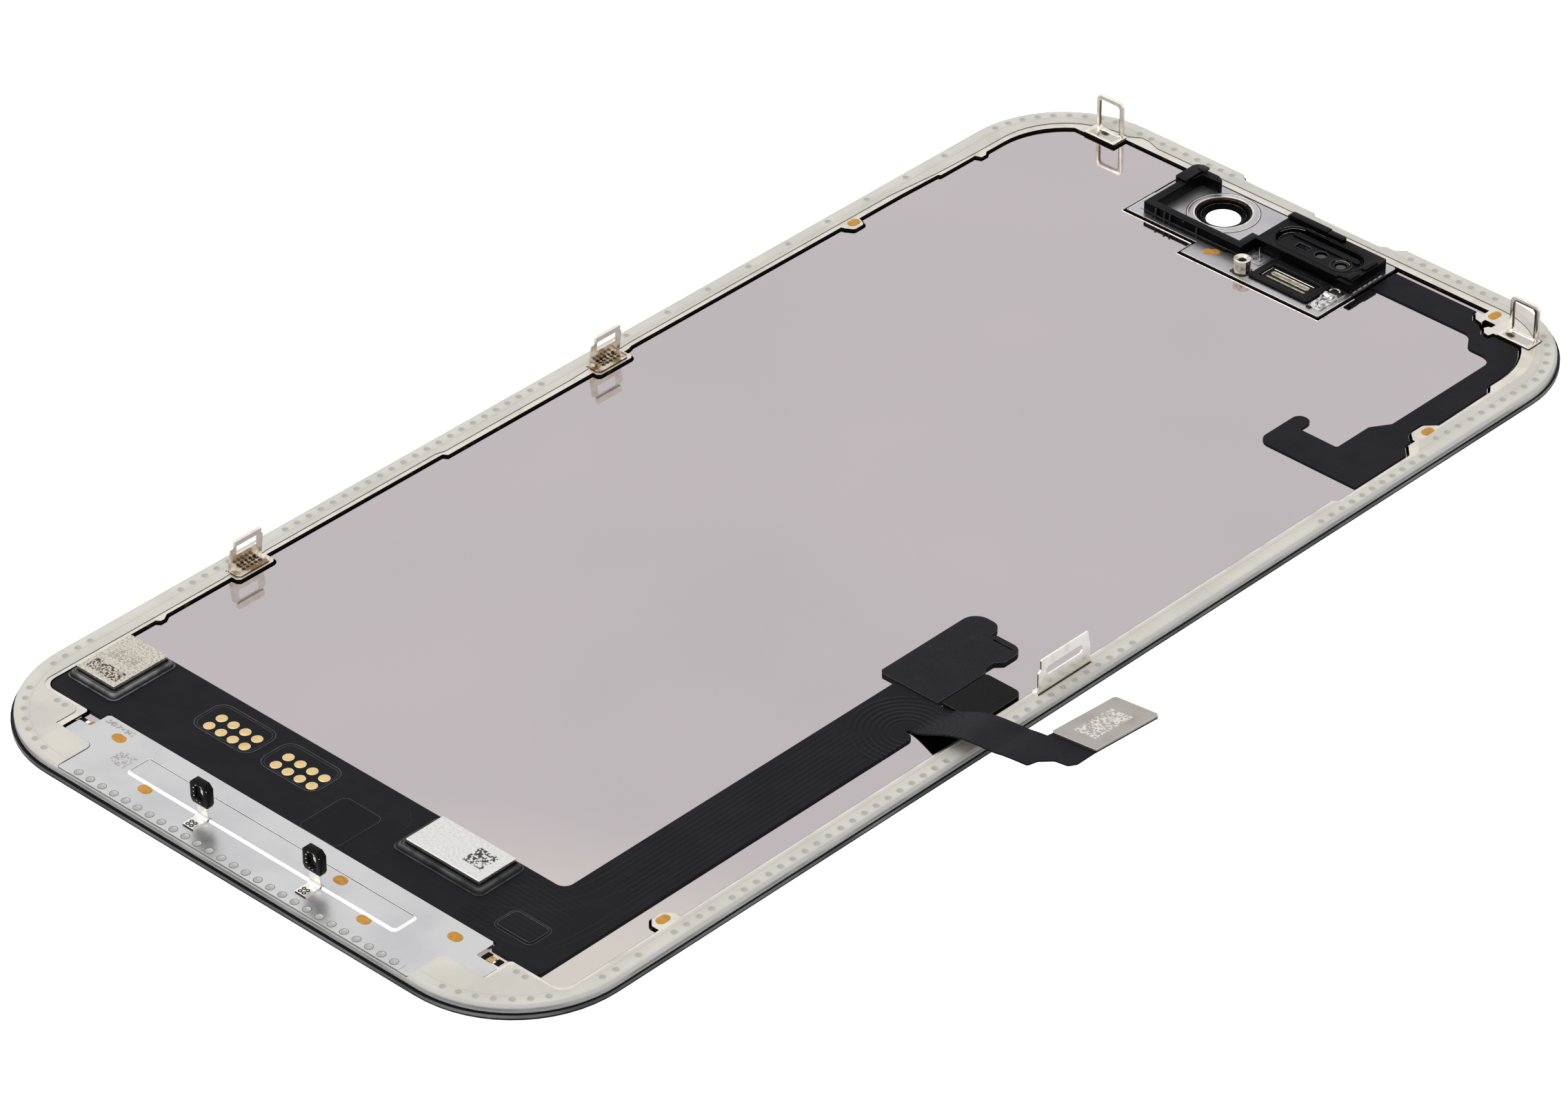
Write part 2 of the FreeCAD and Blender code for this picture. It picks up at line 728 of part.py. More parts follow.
def left_clip(y):
    """Flange on the rim, a wall that leans inwards with a window in it, and a folded lip on top."""
    x = left(CLIP_LEFT_IN)
    z = RIM_TOP
    t = CLIP_T
    half = CLIP_W / 2
    high = CLIP_TOP_W / 2
    flange = block(x + t, x + CLIP_FLANGE - WINDOW_GAP, y - half, y + half, z, z + t)
    flange = chamfer_where(
        flange, 0.3, lambda e: e.BoundBox.ZLength > t / 2 and e.BoundBox.XMin > x + CLIP_FLANGE / 2
    )
    wall = sideways(
        [
            (y - half, z, 0),
            (y + half, z, 0),
            (y + half, z + CLIP_SHOULDER, 0.15),
            (y + high, z + CLIP_SHOULDER + 0.2, 0.15),
            (y + high, z + CLIP_H, 0.15),
            (y - high, z + CLIP_H, 0.15),
            (y - high, z + CLIP_SHOULDER + 0.2, 0.15),
            (y - half, z + CLIP_SHOULDER, 0.15),
        ],
        x,
        t,
    )
    lip_z = z + CLIP_H - CLIP_LIP_H
    lip = block(x + t, x + 2 * t, y - high, y + high, lip_z, z + CLIP_H)
    window_top = lip_z - 0.15
    window = sideways(
        rectangle(y - CLIP_WINDOW_W / 2, y + CLIP_WINDOW_W / 2, window_top - CLIP_WINDOW_H, window_top, 0.12),
        x - 1,
        3,
    )
    wall = wall.fuse(lip).cut(window)
    lean = math.degrees(math.atan2(CLIP_LEAN, CLIP_H))
    wall.rotate(Vector(x + t, y, z + t), Vector(0, 1, 0), lean)
    root = block(x - t, x + 2 * t, y - half, y + half, z, z + t)
    return one_solid(wall.common(block(x - 9, x + 9, y - 9, y + 9, z, z + 9)).fuse([root, flange]))


def right_clip():
    """A long wall with a slot, its far upper corner cut off, on a flange that lies on the rim."""
    x = right(SIDE_CLIP_IN)
    y = SIDE_CLIP_Y
    z = RIM_TOP
    half = SIDE_CLIP_W / 2
    high = SIDE_CLIP_TOP_W / 2
    shoulder = z + SIDE_CLIP_H - 1.3
    wall = sideways(
        [
            (y - half, z, 0),
            (y + half, z, 0),
            (y + half, shoulder - 0.5, 0.3),
            (y + high, z + SIDE_CLIP_H, 0.2),
            (y - high, z + SIDE_CLIP_H, 0.2),
            (y - high, shoulder + 0.25, 0.15),
            (y - half, shoulder, 0.15),
        ],
        x - CLIP_T,
        CLIP_T,
    )
    slot_z = z + SIDE_SLOT_UP
    slot = rectangle(
        y - SIDE_SLOT_L / 2,
        y + SIDE_SLOT_L / 2,
        slot_z - SIDE_SLOT_H / 2,
        slot_z + SIDE_SLOT_H / 2,
        SIDE_SLOT_H / 2 - 0.01,
    )
    wall = wall.cut(sideways(slot, x - 1, 2))
    flange = block(x - SIDE_CLIP_FLANGE, x - CLIP_T, y - half, y + half, z, z + CLIP_T)
    return one_solid(wall.fuse(flange))


def loop_places():
    """The middle x of each top loop, and the near face of its band."""
    return ((left(10.0), top(3.6)), (right(7.0), top(4.7)))


def top_loop(x, y):
    """A band bent to a tall loop over a foot plate, which has a shallow recess for the weld."""
    z = RIM_TOP
    half = LOOP_W / 2
    ring = rectangle(x - half, x + half, z, z + LOOP_H, LOOP_R)
    hole = rectangle(
        x - half + LOOP_BAND,
        x + half - LOOP_BAND,
        z + LOOP_FOOT_T,
        z + LOOP_H - LOOP_BAND,
        LOOP_R - LOOP_BAND / 2,
    )
    band = upright(ring, y, LOOP_T).cut(upright(hole, y - 1, LOOP_T + 2))
    foot_half = LOOP_FOOT_L / 2
    foot = block(x - foot_half, x + foot_half, y - LOOP_FOOT_W, y + LOOP_T, z, z + LOOP_FOOT_T, 0.15)
    recess = block(
        x - foot_half + 0.4,
        x + foot_half - 0.4,
        y - LOOP_FOOT_W + 0.3,
        y - 0.15,
        z + LOOP_FOOT_T / 2,
        z + 1,
        0.2,
    )
    return one_solid(band.fuse(foot.cut(recess)))


def hook_y():
    """The near face of each hook's upright."""
    return bottom(3.95)


def hook_strip(x):
    """A foot on the bracket that bends up into a narrow upright."""
    y = hook_y()
    z = BRACKET_TOP
    r = HOOK_BEND_R
    t = HOOK_T
    outer = Vector(x, y - r, z + r)
    path_out = Part.Arc(
        Vector(x, y - r, z),
        outer + Vector(0, r * math.sin(math.pi / 4), -r * math.cos(math.pi / 4)),
        Vector(x, y, z + r),
    ).toShape()
    inner_r = r - t
    path_in = Part.Arc(
        Vector(x, y - t, z + r),
        outer + Vector(0, inner_r * math.sin(math.pi / 4), -inner_r * math.cos(math.pi / 4)),
        Vector(x, y - r, z + t),
    ).toShape()
    high = z + HOOK_RISE
    foot = y - HOOK_FOOT
    edges = [
        Part.makeLine(Vector(x, foot, z), Vector(x, y - r, z)),
        path_out,
        Part.makeLine(Vector(x, y, z + r), Vector(x, y, high)),
        Part.makeLine(Vector(x, y, high), Vector(x, y - t, high)),
        Part.makeLine(Vector(x, y - t, high), Vector(x, y - t, z + r)),
        path_in,
        Part.makeLine(Vector(x, y - r, z + t), Vector(x, foot, z + t)),
        Part.makeLine(Vector(x, foot, z + t), Vector(x, foot, z)),
    ]
    profile = Part.Face(Part.Wire(edges))
    profile.translate(Vector(-HOOK_W / 2, 0, 0))
    return profile.extrude(Vector(HOOK_W, 0, 0))


def hook_eye(x, strip):
    """The black eye moulded onto the end of a hook's strip."""
    z = BRACKET_TOP + HOOK_RISE - HOOK_GRIP
    half = EYE_W / 2
    c = EYE_CORNER
    corners = [
        (x - half + c / 2, z, 0),
        (x + half - c / 2, z, 0),
        (x + half, z + c, 0),
        (x + half, z + EYE_H - c, 0),
        (x + half - c, z + EYE_H, 0),
        (x - half + c, z + EYE_H, 0),
        (x - half, z + EYE_H - c, 0),
        (x - half, z + c, 0),
    ]
    y = hook_y() - HOOK_T / 2 - EYE_T / 2
    body = upright(corners, y, EYE_T)
    low = z + (EYE_H - EYE_HOLE_H) / 2 + 0.05
    hole = rectangle(x - EYE_HOLE_W / 2, x + EYE_HOLE_W / 2, low, low + EYE_HOLE_H, 0.3)
    return one_solid(body.cut(upright(hole, y - 1, EYE_T + 2)).cut(strip))


def land_place():
    """Where the flex's plug land lies: raised, and tilted both ways."""
    origin = Vector(right(-LAND_OUT), TAIL_Y + TAIL_W / 2 + LAND_STEP, LAND_Z)
    turn = Rotation(Vector(0, 1, 0), -LAND_TILT_X).multiply(Rotation(Vector(1, 0, 0), -LAND_TILT_Y))
    return Placement(origin, turn)


def tail():
    """The strip that climbs over the frame, turns the corner and ends in the plug's land."""
    y0 = TAIL_Y - TAIL_W / 2
    y1 = TAIL_Y + TAIL_W / 2
    slope = math.tan(math.radians(LAND_TILT_X))
    end_x = right(-LAND_OUT)
    rise = [Vector(right(x), y0, z) for x, z in TAIL_RISE] + [Vector(end_x, y0, LAND_Z)]
    curve = Part.BSplineCurve()
    curve.interpolate(Points=rise, InitialTangent=Vector(1, 0, 0), FinalTangent=Vector(1, 0, slope))
    high = curve.toShape()
    low = high.copy()
    low.translate(Vector(0, 0, -TAIL_T))
    ends = [
        Part.makeLine(high.Vertexes[1].Point, low.Vertexes[1].Point),
        Part.makeLine(low.Vertexes[0].Point, high.Vertexes[0].Point),
    ]
    wire = Part.Wire(Part.__sortEdges__([high, ends[0], low, ends[1]]))
    strip = Part.Face(wire).extrude(Vector(0, y1 - y0, 0))
    turn_corners = [
        (-0.05, y0, 0),
        (1.7, y0, 0.3),
        (2.0, y0 + 1.0, 0.5),
        (3.1, y0 + 1.9, 0.6),
        (4.6, y0 + 2.0, 0.4),
        (LAND_W, y0 + 2.7, 0.4),
        (LAND_W, y1 + LAND_STEP, 0),
        (-0.05, y1 + LAND_STEP, 0),
    ]
    corner = plate(turn_corners, -TAIL_T, TAIL_T)
    corner.Placement = Placement(Vector(end_x, 0, LAND_Z), Rotation(Vector(0, 1, 0), -LAND_TILT_X))
    land = plate(
        [(0, -0.02, 0), (LAND_W, -0.02, 0), (LAND_W, LAND_L, 0.3), (0, LAND_L, 0.3)], -TAIL_T, TAIL_T
    )
    land.Placement = land_place()
    return strip.fuse([corner, land])


def main_flex():
    """The band across the bottom end, the trunk up the right side, and the tail, all one circuit."""
    inner = right(TRUNK_IN + TRUNK_W)
    outer = right(TRUNK_IN)
    head = bottom(BRACKET_HEAD) + SEAM
    foot = bottom(PAD_TOP) + SEAM
    notch_y = TAIL_Y - TAIL_W / 2
    slit = 0.4
    start = right(TAIL_RISE[0][0]) + 0.3
    corners = [
        (left(RIM_LEFT) + SEAM, foot, 1.2),
        (left(HEAD_LEFT) - SEAM, foot, 0.2),
        (left(HEAD_LEFT) - SEAM, head, 0),
        (right(HEAD_RIGHT) + SEAM, head, 0),
        (right(HEAD_RIGHT) + SEAM, foot, 0.2),
        (outer, foot, 0.3),
        (outer, notch_y - slit, 0.8),
        (outer - 1.1, notch_y - slit, 0.15),
        (outer - 1.1, notch_y, 0.15),
        (start, notch_y, 0),
        (start, notch_y + TAIL_W, 0),
        (inner, notch_y + TAIL_W, 0),
        (inner, bottom(BAND_TOP), 1.0),
        (left(RIM_LEFT) + SEAM, bottom(BAND_TOP), 0.2),
    ]
    body = plate(corners, PLATE_TOP, FLEX_T)
    raised = block(right(13.05), right(8.95), bottom(13.05), bottom(10.55), FLEX_TOP, FLEX_TOP + COVER_FILM_T, 0.6)
    return one_solid(body.fuse([raised, tail()]))


def along_band(name):
    """The middle x of something that lies on the band."""
    return BAND_PLACES[name] * GLASS_W


def flex_patch():
    x = along_band("patch")
    y = bottom(BRACKET_HEAD) + SEAM
    return block(x - PATCH_W / 2, x + PATCH_W / 2, y, y + PATCH_L, FLEX_TOP, FLEX_TOP + PATCH_T, 0.6)


def cover_tape():
    """The grained tape above the trunk, with a round lobe, a slotted flap and small notches."""
    x0 = right(TAPE_IN + TAPE_W)
    x1 = right(TAPE_IN)
    low = TAIL_Y + TAIL_W / 2
    flap = low + TAPE_L - TAPE_FLAP
    corners = [
        (x0, low, 0.6),
        (x1, low, 0),
        (x1, low + 6.2, 0.2),
        (x1 - 0.5, low + 6.9, 0.2),
        (x1 - 0.5, low + 7.9, 0.2),
        (x1 + 0.15, low + 8.6, 0.2),
        (x1 + 0.15, flap, 1.2),
        (x1 - 3.1, flap, 0.3),
        (x1 - 3.5, flap - 0.5, 0.2),
        (x1 - 3.7, low + TAPE_L, 1.2),
        (x0, low + TAPE_L, 1.6),
    ]
    body = plate(corners, PLATE_TOP, TAPE_T)
    slot = plate(rectangle(x1 - 2.9, x1 - 0.6, flap - 0.8, flap - 0.55), PLATE_TOP - 1, TAPE_T + 2)
    return one_solid(body.cut(slot))


def spacer_pad():
    x0 = right(TAPE_IN) + 3 * SEAM
    low = TAIL_Y + TAIL_W / 2 + SEAM
    corners = [(x0, low, 0.2), (x0 + PAD_W, low, 0.2), (x0 + PAD_W, low + PAD_L, 0.9), (x0, low + PAD_L, 0.3)]
    return plate(corners, PLATE_TOP, PAD_T)


def contact_pads(side):
    """Two rows of gold contacts on the flex, in one node."""
    x = along_band(f"contacts_{side}")
    pads = []
    for row in range(CONTACT_ROWS):
        for column in range(CONTACT_COLUMNS):
            px = x + (column - (CONTACT_COLUMNS - 1) / 2) * CONTACT_PITCH
            py = bottom(CONTACT_UP) + (row - (CONTACT_ROWS - 1) / 2) * CONTACT_PITCH
            pads.append(prism(px, py, FLEX_TOP, FLEX_TOP + CONTACT_T, CONTACT_R, CONTACT_SIDES))
    return Part.makeCompound(pads)


def chip_box(side, grow):
    across, along = CHIP_SIZES[side]
    x = along_band(f"chip_{side}")
    y1 = bottom(BAND_TOP) - CHIP_IN
    y0 = y1 - along
    return x - across / 2 - grow, x + across / 2 + grow, y0 - grow, y1 + grow


def driver_chip(side):
    x0, x1, y0, y1 = chip_box(side, -0.6)
    return block(x0, x1, y0, y1, FLEX_TOP, FLEX_TOP + CHIP_BODY_T)


def chip_skirt(side):
    """Moulded black skirt around a chip: a thin ledge, a sloping bulge, and a wall up to the cover."""
    x0, x1, y0, y1 = chip_box(side, 0)
    out = SKIRT_OUT
    start = max(x0 - out, left(RIM_LEFT) + 2 * SEAM)
    end = bottom(BAND_TOP) - SEAM
    ledge = block(start, x1 + out, y0 - out, end, FLEX_TOP, FLEX_TOP + SKIRT_T, 0.3)
    s = SHOULDER_IN
    low = outline(rectangle(start, x1 + SKIRT_BULGE, y0 - SKIRT_BULGE, end), FLEX_TOP)
    high = outline(rectangle(x0 + s, x1 - s, y0 + s, end), FLEX_TOP + CHIP_BODY_T)
    bulge = Part.makeLoft([low, high], True, True)
    return one_solid(ledge.fuse(bulge).cut(driver_chip(side)))


def chip_cover(side):
    x0, x1, y0, y1 = chip_box(side, 0)
    z = FLEX_TOP + CHIP_BODY_T
    cover = block(x0, x1, y0, y1, z, z + CHIP_COVER_T, 0.12)
    return chamfer_where(cover, 0.05, at_height(z + CHIP_COVER_T))


def stiffener():
    shape = plate(rectangle(0, LAND_W, SEAM, LAND_L, 0.35), 0, STIFFENER_T)
    shape.Placement = land_place()
    return shape


def plug_shell():
    """The plug under the land: a body with a long well and a tongue standing in it."""
    mid_x = LAND_W / 2
    mid_y = LAND_L / 2 + SEAM
    z1 = -TAIL_T
    z0 = z1 - PLUG_T
    half_w = PLUG_W / 2
    half_l = PLUG_L / 2
    body = block(mid_x - half_w, mid_x + half_w, mid_y - half_l, mid_y + half_l, z0, z1, 0.25)
    ridge = PLUG_RIDGE
    well = block(
        mid_x - half_w + ridge, mid_x + half_w - ridge, mid_y - half_l + 2 * ridge, mid_y + half_l - 2 * ridge,
        z0 - 1, z1 - 0.3, 0.1,
    )
    tongue = block(
        mid_x - PLUG_TONGUE_W / 2, mid_x + PLUG_TONGUE_W / 2, mid_y - half_l + 1.1, mid_y + half_l - 1.1,
        z0 + 0.15, z1 - 0.2, 0.1,
    )
    return one_solid(body.cut(well).fuse(tongue))


def placed_plug():
    shape = plug_shell()
    shape.Placement = land_place()
    return shape


def sensor_flex():
    """The flat circuit at the top right, trimmed to the rim's inner edge."""
    root = CLUSTER_RIGHT + CLUSTER_GAP + 0.05
    back = top(SENSOR_FLEX_BACK)
    front = top(SENSOR_FLEX_FRONT)
    foot = top(SENSOR_HEAD_FOOT)
    arm = top(SENSOR_HEAD_FOOT - 4.0)
    head = top(SENSOR_HEAD_FOOT - 5.9)
    corners = [
        (root, front, 0),
        (right(SENSOR_FLEX_IN + 4.45), front, 1.2),
        (right(SENSOR_FLEX_IN + 3.1), front - 1.95, 1.0),
        (right(SENSOR_FLEX_IN), front - 1.95, 1.4),
        (right(SENSOR_FLEX_IN), arm + 6.5, 0.6),
        (right(SENSOR_ARM_IN), arm + 4.6, 0.4),
        (right(SENSOR_ARM_IN), arm, 0.3),
        (right(SENSOR_END_IN), arm, 0.3),
        (right(SENSOR_END_IN), head, 0.85),
        (right(SENSOR_HEAD_IN), head, 0.85),
        (right(SENSOR_HEAD_IN), foot, 1.2),
        (right(0), foot, 0),
        (right(0), top(0), 0),
        (right(SENSOR_END_IN), top(0), 0),
        (right(SENSOR_END_IN), back, 0),
        (root, back, 0),
    ]
    body = plate(corners, PLATE_TOP, SENSOR_FLEX_T)
    limit = opening_fill(PLATE_TOP - SENSOR_FLEX_T, 3 * SENSOR_FLEX_T, PLATE_GAP + SEAM / 2)
    return one_solid(body.common(limit))


def cluster_gasket():
    """The foam shim that carries the cluster's plate above the glass."""
    body = plate(inset(cluster_corners(), 0.3), GLASS_T, CLUSTER_TOP - CLUSTER_SHEET_T - GLASS_T)
    return one_solid(body.cut(disc(CAMERA_X, top(CAMERA_IN), 0, 3, CAMERA_BORE_R)))


def camera_plate():
    """The silver sheet of the cluster, with a low embossed ring around the camera's bore."""
    z = CLUSTER_TOP - CLUSTER_SHEET_T
    y = top(CAMERA_IN)
    sheet = plate(cluster_corners(), z, CLUSTER_SHEET_T)
    cone = Part.makeCone(CAMERA_EMBOSS_R, CAMERA_EMBOSS_R - 0.25, CAMERA_EMBOSS_H, Vector(CAMERA_X, y, CLUSTER_TOP))
    return one_solid(sheet.fuse(cone).cut(disc(CAMERA_X, y, z - 1, z + 2, CAMERA_BORE_R)))


def camera_ring():
    """The stepped black baffle between the glass and the plate, with the camera's clear hole."""
    x = CAMERA_X
    y = top(CAMERA_IN)
    outer = disc(x, y, GLASS_T, CLUSTER_TOP - 0.1, CAMERA_BORE_R - 0.02)
    step = disc(x, y, GLASS_T + 0.35, 3, CAMERA_BORE_R - 0.4)
    funnel = Part.makeCone(
        CAMERA_HOLE_R, CAMERA_HOLE_R + 0.25, 0.35, Vector(x, y, GLASS_T), Vector(0, 0, 1)
    )
    return one_solid(outer.cut(step).cut(funnel))


def camera_holder():
    """The black frame on the plate, open at its top right, with a taller rounded lug."""
    x0 = CLUSTER_LEFT + 1.5
    x1 = x0 + HOLDER_W
    y0 = top(HOLDER_IN)
    z = CLUSTER_TOP
    wall = HOLDER_WALL
    front = block(x0, x1, y0, y0 + wall, z, z + HOLDER_H)
    side = block(x0, x0 + wall, y0, top(7.0), z, z + HOLDER_H)
    back = block(x1 - wall, x1, y0, y0 + 2.8, z, z + HOLDER_H)
    foot = block(x0 + 1.2, x1 - 1.6, y0 - 0.22, y0, z, z + 0.3)
    lug_x = x0 - HOLDER_LUG_OUT
    arm_end = lug_x + HOLDER_ARM_L
    lug_corners = [
        (lug_x, top(7.2), 0.2),
        (lug_x + 1.35, top(7.2), 0),
        (lug_x + 1.35, top(4.75), 0.2),
        (arm_end, top(4.75), 0.1),
        (arm_end, top(4.3), 0.2),
        (arm_end - 0.8, top(3.85), 0.2),
        (lug_x, top(3.85), 0.8),
    ]
    lug = plate(lug_corners, z, HOLDER_LUG_H)
    step = block(lug_x + 1.3, arm_end + 1, top(6), top(3), z + HOLDER_H, z + 9)
    ribs = [block(x0 + k, x0 + k + 0.25, y0 - 0.12, y0, z, z + HOLDER_H - 0.15) for k in (2.6, 4.9)]
    return one_solid(front.fuse([side, back, foot, lug.cut(step)] + ribs))


def sensor_box():
    x0 = CLUSTER_RIGHT - SENSOR_W - 0.25
    y0 = top(10.3)
    return x0, x0 + SENSOR_W, y0, y0 + SENSOR_L


def pocket_centre():
    x0, x1, y0, y1 = sensor_box()
    return (x0 + x1) / 2, y0 + SENSOR_WALL + POCKET_W / 2


def sensor_holder():
    """A black tray with a long round-ended pocket and a taller wall along its back."""
    x0, x1, y0, y1 = sensor_box()
    z = CLUSTER_TOP
    body = block(x0, x1, y0, y1, z, z + SENSOR_H, 0.25)
    wall = block(x0, x0 + SENSOR_W * 0.55, y1 - SENSOR_WALL, y1, z, z + SENSOR_BACK_H, 0.1)
    cx, cy = pocket_centre()
    half_l = POCKET_L / 2
    half_w = POCKET_W / 2
    pocket = block(cx - half_l, cx + half_l, cy - half_w, cy + half_w, z + SENSOR_FLOOR, z + 9, half_w - 0.01)
    nick = block(x1 - 1.6, x1 + 1, y0 - 1, y0 + 0.35, z + SENSOR_H - 0.3, z + 9)
    return one_solid(body.fuse(wall).cut(pocket).cut(nick))


def sensor_insert():
    """The carrier in the tray's pocket, with a slanted end, a small window and a round seat."""
    cx, cy = pocket_centre()
    z = CLUSTER_TOP + SENSOR_FLOOR
    half_l = POCKET_L / 2 - 0.15
    half_w = POCKET_W / 2 - 0.15
    body = block(cx - half_l, cx + half_l, cy - half_w, cy + half_w, z, z + INSERT_T, half_w - 0.01)
    window = block(cx - 2.6, cx - 1.2, cy - 0.6, cy + 0.3, z + 0.15, z + 1, 0.1)
    seats = [prism(x, y, z + 0.1, z + 1, LENS_R, LENS_SIDES) for x, y in lens_places()]
    return one_solid(body.cut(window).cut(Part.makeCompound(seats)))


def lens_places():
    cx, cy = pocket_centre()
    return ((cx + 0.3, cy - 0.1), (cx + 2.9, cy - 0.3))


def sensor_lenses():
    """Two small lenses in the carrier's seats, in one node."""
    z = CLUSTER_TOP + SENSOR_FLOOR + 0.1
    lenses = []
    for x, y in lens_places():
        base = prism(x, y, z, z + 0.2, LENS_R - 0.05, LENS_SIDES)
        lenses.append(chamfer_where(base, 0.1, at_height(z + 0.2)))
    return Part.makeCompound(lenses)


def speaker_place():
    x0 = CLUSTER_RIGHT - 9.5
    y0 = top(14.45)
    return x0, x0 + SPEAKER_L, y0, y0 + SPEAKER_W


def speaker_window():
    x0, x1, y0, y1 = speaker_place()
    cx = (x0 + x1) / 2
    cy = (y0 + y1) / 2
    half_l = SPEAKER_WINDOW_L / 2
    half_w = SPEAKER_WINDOW_W / 2
    return cx - half_l, cx + half_l, cy - half_w, cy + half_w


def speaker_frame():
    x0, x1, y0, y1 = speaker_place()
    z = CLUSTER_TOP
    frame = block(x0, x1, y0, y1, z, z + SPEAKER_T, 0.4)
    a0, a1, b0, b1 = speaker_window()
    return one_solid(frame.cut(block(a0, a1, b0, b1, z - 1, z + 1, 0.2)))


def speaker_grille():
    """The pill-shaped bars behind the frame's window, on a thin backing."""
    a0, a1, b0, b1 = speaker_window()
    z = CLUSTER_TOP
    backing = block(a0 + 0.03, a1 - 0.03, b0 + 0.03, b1 - 0.03, z, z + 0.06, 0.2)
    pitch = (b1 - b0) / GRILLE_BARS
    bars = []
    for i in range(GRILLE_BARS):
        y = b0 + pitch * (i + 0.5)
        half = GRILLE_BAR_W / 2
        bars.append(block(a0 + 0.2, a1 - 0.2, y - half, y + half, z + 0.06, z + 0.15, half - 0.01))
    return one_solid(backing.fuse(bars))


def threaded_post():
    """A round post with a threaded hole in its top."""
    x = POST_X
    y = top(POST_IN)
    z = CLUSTER_TOP
    body = disc(x, y, z, z + POST_H, POST_R)
    bore = disc(x, y, z + POST_H - POST_DEPTH, z + POST_H + 1, POST_BORE_R)
    c = POST_CHAMFER
    mouth = Part.makeCone(POST_BORE_R, POST_BORE_R + c, c, Vector(x, y, z + POST_H - c))
    return one_solid(body.cut(bore).cut(mouth))


def ground_tab():
    """The small sprung tab between the post and the tray."""
    x0 = 0.1
    y0 = top(12.25)
    z = CLUSTER_TOP
    body = block(x0, x0 + 1.6, y0, y0 + 1.85, z, z + 0.12, 0.12)
    bumps = [prism(x0 + 0.5 + k * 0.6, y0 + 0.9, z + 0.12, z + 0.2, 0.24, HOLE_SIDES) for k in range(2)]
    return one_solid(body.fuse(bumps))


def contact_spring():
    """The folded spring at the cluster's right front corner."""
    x0 = CLUSTER_RIGHT - 1.95
    y0 = top(14.5)
    z = CLUSTER_TOP
    base = block(x0, x0 + 1.5, y0, y0 + 3.9, z, z + 0.12, 0.2)
    arch = Part.makeCylinder(0.55, 1.1, Vector(x0 + 0.2, y0 + 2.4, z + 0.05), Vector(1, 0, 0))
    arch = arch.common(block(x0 - 1, x0 + 3, y0, y0 + 9, z + 0.06, z + 3))
    finger = block(x0 + 0.45, x0 + 1.05, y0 + 0.4, y0 + 2.1, z + 0.12, z + 0.24, 0.1)
    return one_solid(base.fuse([arch, finger]))


def main():
    os.makedirs("parts", exist_ok=True)
    rim = rim_insert()
    strips = [hook_strip(x) for x in HOOK_XS]
    loops = [top_loop(x, y) for x, y in loop_places()]
    nodes = {
        "cover_glass": cover_glass(),
        "optical_adhesive": optical_adhesive(),
        "display_panel": display_panel(),
        "back_plate": back_plate(),
        "bezel_frame": bezel_frame(rim),
        "rim_insert": rim,
        "bottom_bracket": bottom_bracket(),
        "clip_left_upper": left_clip(CLIP_UPPER_Y),
        "clip_left_lower": left_clip(bottom(CLIP_LOWER_UP)),
        "clip_right": right_clip(),
        "loop_top_left": loops[0],
        "loop_top_right": loops[1],
        "main_flex": main_flex(),
        "flex_patch": flex_patch(),
        "cover_tape": cover_tape(),
        "spacer_pad": spacer_pad(),
        "plug_stiffener": stiffener(),
        "plug_shell": placed_plug(),
        "sensor_flex": sensor_flex(),
        "cluster_gasket": cluster_gasket(),
        "camera_plate": camera_plate(),
        "camera_ring": camera_ring(),
        "camera_holder": camera_holder(),
        "sensor_holder": sensor_holder(),
        "sensor_insert": sensor_insert(),
        "sensor_lenses": sensor_lenses(),
        "speaker_frame": speaker_frame(),
        "speaker_grille": speaker_grille(),
        "threaded_post": threaded_post(),
        "ground_tab": ground_tab(),
        "contact_spring": contact_spring(),
    }
    for name, x, strip in zip(("left", "right"), HOOK_XS, strips):
        nodes[f"hook_strip_{name}"] = strip
        nodes[f"hook_eye_{name}"] = hook_eye(x, strip)
    for side in CHIP_SIZES:
        nodes[f"contact_pads_{side}"] = contact_pads(side)
        nodes[f"driver_chip_{side}"] = driver_chip(side)
        nodes[f"chip_skirt_{side}"] = chip_skirt(side)
        nodes[f"chip_cover_{side}"] = chip_cover(side)
    for name, shape in nodes.items():
        shape.exportStep(f"parts/{name}.step")


main()
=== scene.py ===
"""Looks for a phone display assembly that lies on its glass: its finishes, fine pieces, light and camera.

Sizes and places are millimetres in the part's own frame: X towards the plug, Y towards the front camera,
Z from the glass to the clips.
"""

import logging
import math
from dataclasses import dataclass, field, replace
from enum import Enum
from typing import Iterable, Protocol, Sequence, Union

import bmesh
import bpy
from mathutils import Matrix, Vector


